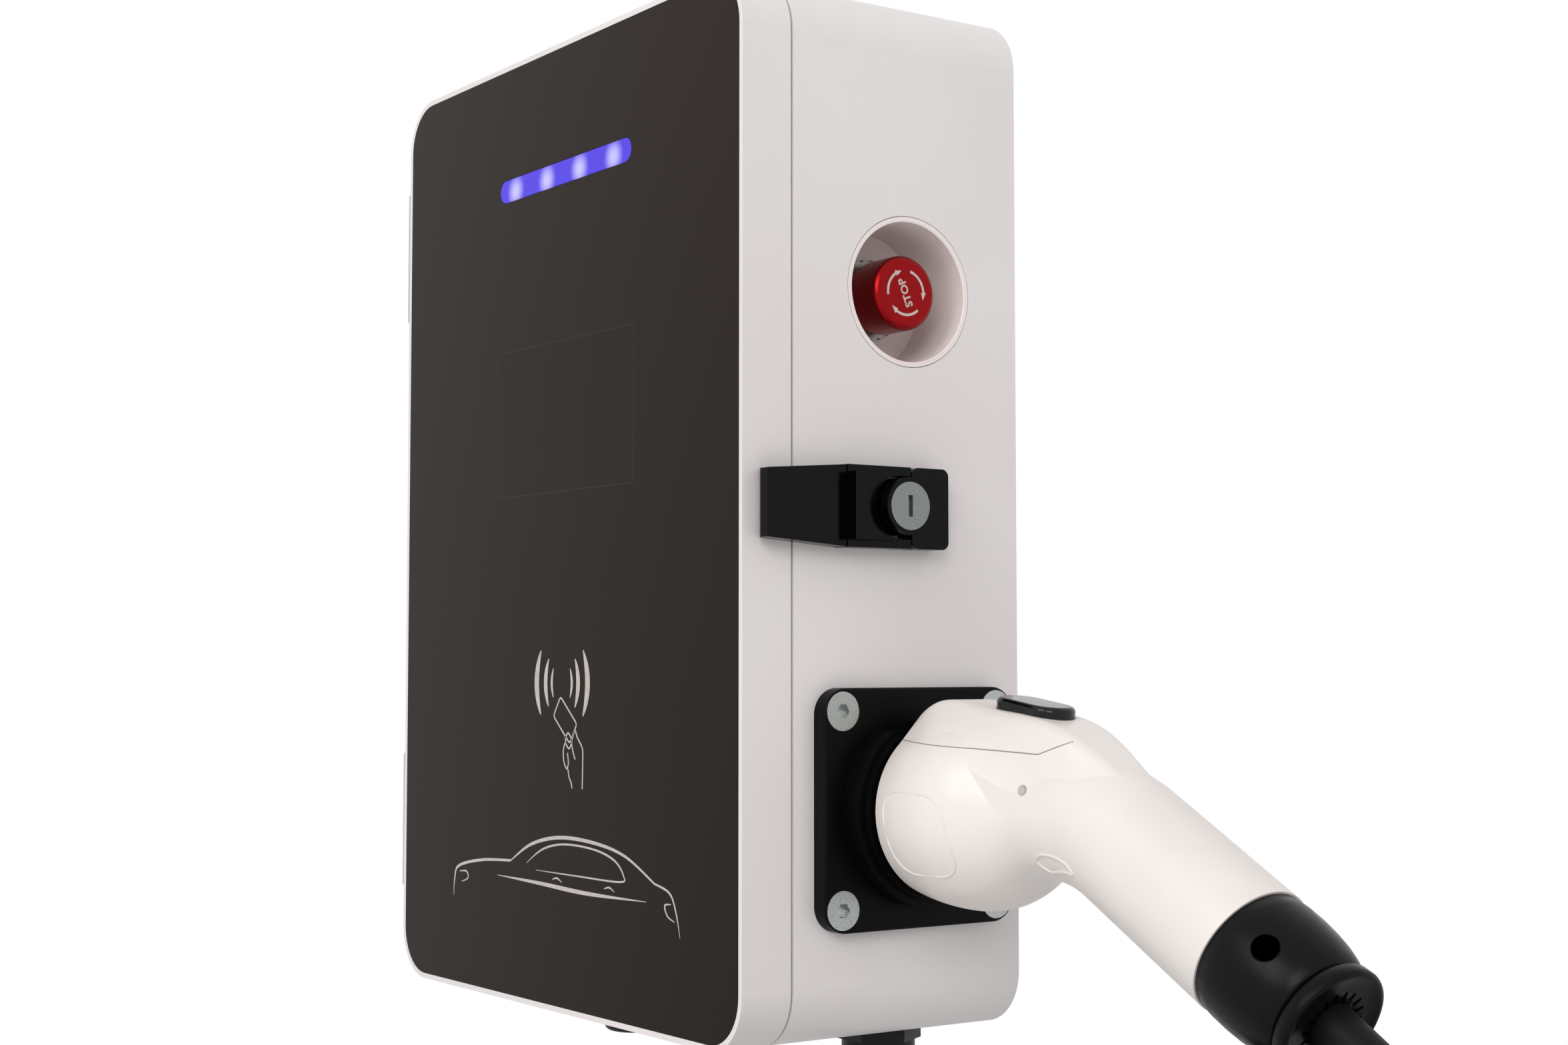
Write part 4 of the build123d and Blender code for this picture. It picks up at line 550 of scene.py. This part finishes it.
# %% Ink
INK_DEPTH = 0.1


def printing_ink(name, colour, worn_colour):
    material, shader = new_material(name, colour, 0.5)
    worn = spread(material, noise(material, 2.5), 0, 1)
    link_to(material, mix_colours(material, worn, linear(colour), linear(worn_colour)),
            shader, "Base Color")
    bump(material, shader, noise(material, 0.8), 0.02, 0.4)
    return material


ink = printing_ink("screen_ink", "C2B9B4", "B6ADA7")
button_ink = printing_ink("button_ink", "C9BBB4", "BBAEA8")


# %% Drawing helpers
def slab(work, outline):
    """Adds a flat solid with this outline, half of it sunk below the face."""
    levels = [[work.verts.new((x, y, z)) for x, y in outline]
              for z in (-INK_DEPTH / 2, INK_DEPTH / 2)]
    work.faces.new(levels[0][::-1])
    work.faces.new(levels[1])
    for index in range(len(outline)):
        after = (index + 1) % len(outline)
        work.faces.new((levels[0][index], levels[0][after], levels[1][after], levels[1][index]))


def ribbon(work, points, closed=False):
    """Adds a stroke through points of (x, y, width), as a thin solid with blunt ends."""
    count = len(points)
    rims = []
    for index, (x, y, width) in enumerate(points):
        before = points[(index - 1) % count] if closed or index else points[0]
        after = points[(index + 1) % count] if closed or index < count - 1 else points[-1]
        along = Vector((after[0] - before[0], after[1] - before[1])).normalized()
        side = Vector((-along.y, along.x)) * width / 2
        rims.append([work.verts.new((x + way * side.x, y + way * side.y, z))
                     for way, z in ((1, INK_DEPTH / 2), (-1, INK_DEPTH / 2),
                                    (-1, -INK_DEPTH / 2), (1, -INK_DEPTH / 2))])
    for index in range(count if closed else count - 1):
        here, there = rims[index], rims[(index + 1) % count]
        for corner in range(4):
            following = (corner + 1) % 4
            work.faces.new((here[corner], here[following], there[following], there[corner]))
    if not closed:
        work.faces.new(rims[0][::-1])
        work.faces.new(rims[-1])


def curved(points, steps=8):
    """Points of a smooth line through (x, y, width) points."""
    line = []
    ends = [points[0], *points, points[-1]]
    for index in range(1, len(ends) - 2):
        a, b, c, d = (Vector(p) for p in ends[index - 1:index + 3])
        for step in range(steps):
            t = step / steps
            line.append(0.5 * (2 * b + (c - a) * t + (2 * a - 5 * b + 4 * c - d) * t * t
                               + (3 * b - a - 3 * c + d) * t * t * t))
    line.append(Vector(points[-1]))
    return [(p.x, p.y, max(p.z, 0.12)) for p in line]


def rounded(corners, radius, steps=5):
    """A closed outline with its corners rounded off."""
    outline = []
    count = len(corners)
    for index in range(count):
        corner = Vector(corners[index])
        back = (Vector(corners[index - 1]) - corner).normalized()
        forth = (Vector(corners[(index + 1) % count]) - corner).normalized()
        for step in range(steps + 1):
            t = step / steps
            place = corner + back * radius * (1 - t) ** 2 + forth * radius * t ** 2
            outline.append((place.x, place.y))
    return outline


def finish_piece(name, work, place, material, body, smooth=False):
    """Sets a drawing or solid, made in millimetres, in its place and on its body."""
    bmesh.ops.transform(work, matrix=place @ Matrix.Scale(MM, 4), verts=work.verts)
    bmesh.ops.remove_doubles(work, verts=work.verts, dist=0.001 * MM)
    bmesh.ops.recalc_face_normals(work, faces=work.faces)
    mesh = bpy.data.meshes.new(name)
    work.to_mesh(mesh)
    work.free()
    mesh.materials.append(material)
    for face in mesh.polygons:
        face.use_smooth = smooth
    piece = bpy.data.objects.new(name, mesh)
    bpy.context.scene.collection.objects.link(piece)
    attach(piece, body)
    print(name, "has", len(mesh.polygons), "faces")
    return piece


def on_face(origin, across, up):
    """The matrix that lays a drawing on a face."""
    out = Vector(across).cross(Vector(up))
    lay = Matrix((across, up, out)).transposed().to_4x4()
    lay.translation = origin
    return lay


panel_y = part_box("front_panel")[0].y
on_panel = on_face((0, panel_y, 0), (1, 0, 0), (0, 0, 1))

# %% [markdown]
# The reader's sign is the common one for a contactless card: three pairs of waves that
# swell in their middle, over a card that a hand holds up to them. Each wave is an arc,
# given by how far out it stands, how tall it is and how much it bulges.

# %% Contactless sign
WAVE_CENTRE = (7.0, -66.5)
# Each wave: half distance of the pair, half height, bulge, width at the middle.
WAVES = [(23.0, 13.2, 3.6, 3.7), (15.0, 9.8, 2.6, 2.9), (9.2, 6.0, 1.5, 1.7)]
WAVE_STEPS = 16
WAVE_TIP = 0.18
WAVE_FULLNESS = 2.4
CARD = [(6.1, -72.1), (19.7, -83.0), (13.9, -91.0), (0.3, -80.1)]
CARD_CORNER = 1.6
LINE = 0.75

waves = bmesh.new()
for out, half_height, bulge, width in WAVES:
    for side in (-1, 1):
        stroke = []
        for step in range(WAVE_STEPS + 1):
            share = 2 * step / WAVE_STEPS - 1
            swell = 1 - (1 - WAVE_TIP) * abs(share) ** WAVE_FULLNESS
            stroke.append((WAVE_CENTRE[0] + side * (out - width / 2 - bulge * share * share),
                           WAVE_CENTRE[1] + half_height * share, width * swell))
        ribbon(waves, stroke)
finish_piece("reader_waves", waves, on_panel, ink, "door")

card = bmesh.new()
ribbon(card, [(x, y, LINE) for x, y in rounded(CARD, CARD_CORNER)], closed=True)
HAND = [
    [(18.6, -85.6), (20.2, -88.4), (24.2, -92.6), (24.6, -98.0), (24.3, -109.0)],
    [(17.9, -85.9), (15.6, -90.0), (16.4, -93.6), (18.4, -97.2)],
    [(12.4, -86.6), (10.6, -88.6), (10.9, -91.2), (13.4, -93.0), (15.3, -90.6),
     (14.2, -87.8), (12.4, -86.6)],
    [(9.9, -91.0), (8.7, -94.2), (9.3, -98.6), (11.6, -101.2), (12.9, -99.0), (12.2, -94.8)],
    [(12.6, -101.4), (13.6, -104.6), (15.4, -107.0), (16.0, -109.0)],
]
for finger in HAND:
    ribbon(card, curved([(x, y, LINE) for x, y in finger], 5))
finish_piece("reader_card", card, on_panel, ink, "door")

# %% [markdown]
# Low on the door is a line drawing of a car, a few strokes that thin out at their ends.
# This one is a plain small car, drawn anew from its own points.

# %% Line drawing of a car
CAR = [
    # Front, bonnet, windscreen, roof and tail as one line.
    [(-89.0, -160.5, 0.2), (-88.2, -153.0, 0.9), (-84.0, -147.2, 1.2), (-62.0, -143.2, 1.2),
     (-36.0, -141.6, 1.0)],
    [(-36.0, -141.6, 0.5), (-18.0, -133.6, 1.3), (6.0, -129.4, 1.5), (34.0, -129.8, 1.4),
     (58.0, -133.4, 1.1), (80.0, -142.2, 0.8)],
    [(80.0, -142.2, 0.8), (91.0, -145.0, 0.9), (95.6, -152.0, 0.8), (98.4, -161.0, 0.2)],
    # Side window.
    [(-22.0, -141.6, 0.2), (-8.0, -135.0, 0.8), (10.0, -131.9, 0.8), (34.0, -132.4, 0.8),
     (50.0, -135.6, 0.9), (57.0, -141.0, 0.7), (54.0, -143.6, 0.7), (20.0, -143.9, 0.6),
     (-14.0, -144.0, 0.2)],
    # Waist line, door handles and lamps.
    [(-48.0, -148.6, 0.2), (-10.0, -149.2, 1.5), (28.0, -150.2, 1.6), (74.0, -149.6, 0.2)],
    [(0.0, -146.8, 0.3), (4.0, -146.0, 0.7), (8.0, -147.4, 0.3)],
    [(42.0, -147.2, 0.3), (46.0, -146.4, 0.7), (50.0, -147.8, 0.3)],
    [(-83.5, -149.6, 0.3), (-77.0, -149.2, 0.8), (-75.5, -152.0, 0.7), (-81.5, -154.0, 0.3)],
    [(92.0, -149.0, 0.3), (87.5, -149.8, 0.8), (89.5, -153.6, 0.7), (94.6, -155.4, 0.3)],
]
car = bmesh.new()
for stroke in CAR:
    ribbon(car, curved(stroke))
finish_piece("door_drawing", car, on_panel, ink, "door")

# %% [markdown]
# The stop button is unlocked with a twist, so three arrows run round its head, and the
# word in the middle is the one that every such button carries. The word is a text curve
# made into a mesh before it is placed. It lies tilted, as the knob was left turned.

# %% Print on the stop button
WORD_TURN = 111.5
WORD_HEIGHT = 3.3
WORD_WEIGHT = 0.12
CAPITAL_SHARE = 0.69
ARC_STEPS = 8
ARROW_RADIUS = 8.6
ARROW_WIDTH = 1.0
HEAD_WIDTH = 2.3
HEAD_ANGLE = 20
# Each arrow runs clockwise from its tail to its tip, in degrees.
ARROWS = [(189, 104), (75, -16), (-48, -141)]
head_centre = node_centre("stop_head")
head_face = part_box("stop_head")[1].x
on_button = on_face((head_face, head_centre.y, head_centre.z), (0, 1, 0), (0, 0, 1))

arrows = bmesh.new()
for tail, tip in ARROWS:
    neck = tip + HEAD_ANGLE
    outline = []
    for edge, start, end in ((ARROW_RADIUS + ARROW_WIDTH / 2, tail, neck),
                             (ARROW_RADIUS - ARROW_WIDTH / 2, neck, tail)):
        for step in range(ARC_STEPS + 1):
            angle = radians(start + (end - start) * step / ARC_STEPS)
            outline.append((edge * cos(angle), edge * sin(angle)))
        if end == neck:
            for reach, at in ((ARROW_RADIUS + HEAD_WIDTH / 2, neck), (ARROW_RADIUS, tip),
                              (ARROW_RADIUS - HEAD_WIDTH / 2, neck)):
                outline.append((reach * cos(radians(at)), reach * sin(radians(at))))
    slab(arrows, outline)
finish_piece("button_arrows", arrows, on_button, button_ink, "stop_knob")

lettering = bpy.data.curves.new("button_word", "FONT")
lettering.body = "STOP"
lettering.size = WORD_HEIGHT / CAPITAL_SHARE
lettering.align_x = "CENTER"
lettering.align_y = "CENTER"
lettering.extrude = INK_DEPTH / 2
lettering.offset = WORD_WEIGHT
lettering.resolution_u = 3
holder = bpy.data.objects.new("button_word", lettering)
bpy.context.scene.collection.objects.link(holder)
bpy.context.view_layer.update()
letter_mesh = bpy.data.meshes.new_from_object(
    holder.evaluated_get(bpy.context.evaluated_depsgraph_get()))
bpy.data.objects.remove(holder)
word = bmesh.new()
word.from_mesh(letter_mesh)
finish_piece("button_word", word, on_button @ Matrix.Rotation(radians(WORD_TURN), 4, "Z"),
             button_ink, "stop_knob")

# %% [markdown]
# The gun's tail is a black cap that bellies out a little and draws in towards the nut. The
# nut is a smooth disc with a dished face, and a ring of short slots where it grips the
# cable. Both are bodies of revolution about the grip's axis. They could stay the plain
# solids that carry the weight, but the eye goes to this end, so each is turned afresh from
# the outline that the photograph shows, and takes its solid's place.

# %% Tail cap and cable nut
TAIL_START = Vector((314.4, -53.2, -149.4))
TAIL_AXIS = Vector((0.8738, 0.0, -0.4863)).normalized()
TURN_STEPS = 64
# Each point is (millimetres along the axis, radius).
CAP_OUTLINE = [(0.0, 0.0), (0.0, 22.2), (0.4, 22.5), (6.0, 22.9), (12.0, 22.9), (18.0, 22.5),
               (24.0, 21.6), (28.0, 20.6), (31.0, 19.4), (32.2, 18.4), (32.4, 16.0), (32.4, 0.0)]
NUT_OUTLINE = [(32.0, 0.0), (32.0, 17.5), (33.0, 19.3), (33.8, 20.0), (37.4, 20.3),
               (38.3, 20.0), (38.8, 19.2), (38.9, 18.2), (38.2, 17.2), (37.8, 13.0),
               (37.7, 9.6), (37.2, 9.2), (37.2, 0.0)]
SLOTS = 18
SLOT_START, SLOT_END, SLOT_WIDTH = 8.6, 12.2, 0.9

tail_side = TAIL_AXIS.orthogonal().normalized()
along_tail = Matrix((tail_side, TAIL_AXIS.cross(tail_side), TAIL_AXIS)).transposed().to_4x4()
along_tail.translation = TAIL_START * MM


def turned(outline):
    """A body of revolution about Z, in millimetres."""
    work = bmesh.new()
    rims = []
    for along, radius in outline:
        if radius == 0:
            rims.append([work.verts.new((0, 0, along))])
        else:
            rims.append([work.verts.new((radius * cos(2 * pi * step / TURN_STEPS),
                                         radius * sin(2 * pi * step / TURN_STEPS), along))
                         for step in range(TURN_STEPS)])
    for lower, upper in zip(rims, rims[1:]):
        for step in range(TURN_STEPS):
            after = (step + 1) % TURN_STEPS
            ring = [lower[step % len(lower)], lower[after % len(lower)],
                    upper[after % len(upper)], upper[step % len(upper)]]
            corners = [v for index, v in enumerate(ring) if v not in ring[:index]]
            if len(corners) > 2:
                work.faces.new(corners)
    return work


tail_cap = finish_piece("tail_cap_turned", turned(CAP_OUTLINE), along_tail, tail_black,
                        "cabinet", smooth=True)
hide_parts("tail_cap")
cable_nut = finish_piece("cable_nut_turned", turned(NUT_OUTLINE), along_tail, gun_black,
                         "cabinet", smooth=True)
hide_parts("cable_nut")

# Each slot is a thin black slab on the nut's face: painted shadow where the slot's hollow lies.
slot_shadows = bmesh.new()
for index in range(SLOTS):
    angle = 2 * pi * index / SLOTS
    rim = Vector((cos(angle), sin(angle)))
    side = Vector((-rim.y, rim.x)) * SLOT_WIDTH / 2
    slab(slot_shadows, [tuple(rim * SLOT_START - side), tuple(rim * SLOT_END - side),
                 tuple(rim * SLOT_END + side), tuple(rim * SLOT_START + side)])
face = along_tail @ Matrix.Translation((0, 0, 37.8 * MM))
finish_piece("cable_nut_slot_shadows", slot_shadows, face, slot_shadow_black, "cabinet")

# %% [markdown]
# Two raised lines are moulded on the gun's side: the frame round the rating plate's place
# and the lip of the finger stop under the throat. Each is drawn as a loop in side view and
# dropped on the gun by casting rays, and a thin round bead follows it. The seam of the
# latch cover is a fine dark bead sunk in the same way.

# %% Lines on the gun
gun_tree = BVHTree.FromPolygons([v.co for v in nodes["gun_body"].data.vertices],
                                [tuple(f.vertices) for f in nodes["gun_body"].data.polygons])
BEAD_SIDES = 8
BEAD_FLATNESS = 0.7
RAY_START = -0.2


def dropped(loop):
    """Side-view points (x, z) in millimetres, dropped on the gun's front side."""
    landed = []
    for x, z in loop:
        place, normal, _, _ = gun_tree.ray_cast(Vector((x * MM, RAY_START, z * MM)),
                                                   Vector((0, 1, 0)))
        if place is not None:
            landed.append((place / MM, normal))
    return landed


def bead(name, landed, radius, material, closed=True):
    """A round bead along points that were dropped on a surface."""
    work = bmesh.new()
    rims = []
    for index, (place, normal) in enumerate(landed):
        after = (index + 1) % len(landed) if closed else min(index + 1, len(landed) - 1)
        before = index - 1 if closed else max(index - 1, 0)
        ahead = landed[after][0] - landed[before][0]
        side = ahead.normalized().cross(normal).normalized()
        turns = [2 * pi * k / BEAD_SIDES for k in range(BEAD_SIDES)]
        rims.append([work.verts.new(place + side * radius * cos(turn)
                                    + normal * radius * BEAD_FLATNESS * sin(turn))
                     for turn in turns])
    if not closed:
        work.faces.new(rims[0][::-1])
        work.faces.new(rims[-1])
    for index in range(0 if closed else 1, len(rims)):
        here, there = rims[index - 1], rims[index]
        for k in range(BEAD_SIDES):
            after = (k + 1) % BEAD_SIDES
            work.faces.new((here[k], here[after], there[after], there[k]))
    return finish_piece(name, work, Matrix.Identity(4), material, "cabinet", smooth=True)


def closed_curve(points, steps=6):
    """A smooth closed line through (x, y) points."""
    line = []
    count = len(points)
    for index in range(count):
        a, b, c, d = (Vector(points[(index + k - 1) % count]) for k in range(4))
        for step in range(steps):
            s = step / steps
            place = 0.5 * (2 * b + (c - a) * s + (2 * a - 5 * b + 4 * c - d) * s * s
                           + (3 * b - a - 3 * c + d) * s * s * s)
            line.append((place.x, place.y))
    return line


PLATE_CORNER, PLATE_STEPS = 11.0, 12
FRAME_BEAD, LIP_BEAD, SEAM_BEAD = 0.45, 0.7, 0.2
PLATE_FRAME = [(166.0, -104.0), (200.0, -104.5), (203.0, -133.5), (170.0, -134.0)]
FINGER_STOP = [(233.0, -126.0), (235.5, -123.6), (240.4, -122.9), (246.5, -123.6),
               (251.6, -125.6), (253.2, -128.6), (249.0, -128.2), (243.0, -128.6),
               (237.2, -129.0)]
bead("rating_plate_frame", dropped(rounded(PLATE_FRAME, PLATE_CORNER, PLATE_STEPS)),
     FRAME_BEAD, gun_white)
bead("finger_stop", dropped(closed_curve(FINGER_STOP)), LIP_BEAD, gun_white)

# The seam runs a little below the cover's edge, where the gun's body still is.
SEAM = [(161.5, -86.35), (232.0, -89.45), (245.0, -84.3)]
SEAM_STEP = 1.5
seam_line = []
for start, end in zip(SEAM, SEAM[1:]):
    stretch = Vector(end) - Vector(start)
    count = max(int(stretch.length / SEAM_STEP), 1)
    seam_line += [tuple(Vector(start) + stretch * k / count) for k in range(count)]
seam_shade, _ = new_material("seam_shadow", "8E8580", 0.7, Specular_IOR_Level=0.0)
bead("latch_cover_seam", dropped(seam_line + [SEAM[-1]]), SEAM_BEAD, seam_shade, closed=False)

# %% [markdown]
# The charger hangs over a plain pale floor, which is part of the studio and not of the
# charger. The background is pure white to the camera and to mirrors, while the light that
# it sheds on the charger is softer, so that white paint stays below pure white. Two
# large soft boxes give the front and the side their light and the edges their thin
# highlights.

# %% Floor
FLOOR_HEIGHT = -0.62
FLOOR_HALF = 1.6
floor_work = bmesh.new()
bmesh.ops.create_grid(floor_work, x_segments=1, y_segments=1, size=FLOOR_HALF,
                      matrix=Matrix.Translation((0.1, -0.3, FLOOR_HEIGHT)))
floor_mesh = bpy.data.meshes.new("floor")
floor_work.to_mesh(floor_mesh)
floor_work.free()
floor_material, floor_shader = new_material("pale_floor", "E6E6E6", 0.8)
floor_mesh.materials.append(floor_material)
floor = bpy.data.objects.new("floor", floor_mesh)
bpy.context.scene.collection.objects.link(floor)

# %% Lamps
WORLD_LIGHT = 0.62


def soft_box(name, place, target, width, height, power, colour="FFFFFF"):
    data = bpy.data.lights.new(name, "AREA")
    data.shape = "RECTANGLE"
    data.size = width
    data.size_y = height
    data.energy = power
    data.color = linear(colour)[:3]
    lamp = bpy.data.objects.new(name, data)
    lamp.location = place
    lamp.rotation_euler = (Vector(target) - Vector(place)).to_track_quat("-Z", "Y").to_euler()
    bpy.context.scene.collection.objects.link(lamp)
    return lamp


soft_box("key_box", (0.5, -2.3, 1.5), (0.05, -0.05, -0.1), 1.4, 1.4, 22)
soft_box("side_box", (2.0, -1.6, 1.0), (0.14, -0.05, -0.05), 1.2, 1.2, 20)

world = bpy.data.worlds.new("studio")
bpy.context.scene.world = world
world.use_nodes = True
world.node_tree.nodes.clear()
path = add_node(world, "ShaderNodeLightPath")
seen = add_node(world, "ShaderNodeMath", {0: path.outputs["Is Camera Ray"],
                                          1: path.outputs["Is Glossy Ray"]},
                operation="MAXIMUM")
shown = add_node(world, "ShaderNodeMath", {0: seen.outputs[0],
                                           1: path.outputs["Is Transmission Ray"]},
                 operation="MAXIMUM")
strength = add_node(world, "ShaderNodeMapRange",
                    {"Value": shown.outputs[0], "To Min": WORLD_LIGHT, "To Max": 1.0})
background = add_node(world, "ShaderNodeBackground",
                      {"Color": (1, 1, 1, 1), "Strength": strength.outputs["Result"]})
add_node(world, "ShaderNodeOutputWorld", {"Surface": background.outputs[0]})

bpy.context.scene.view_settings.view_transform = "Standard"
print("lamps and world set")
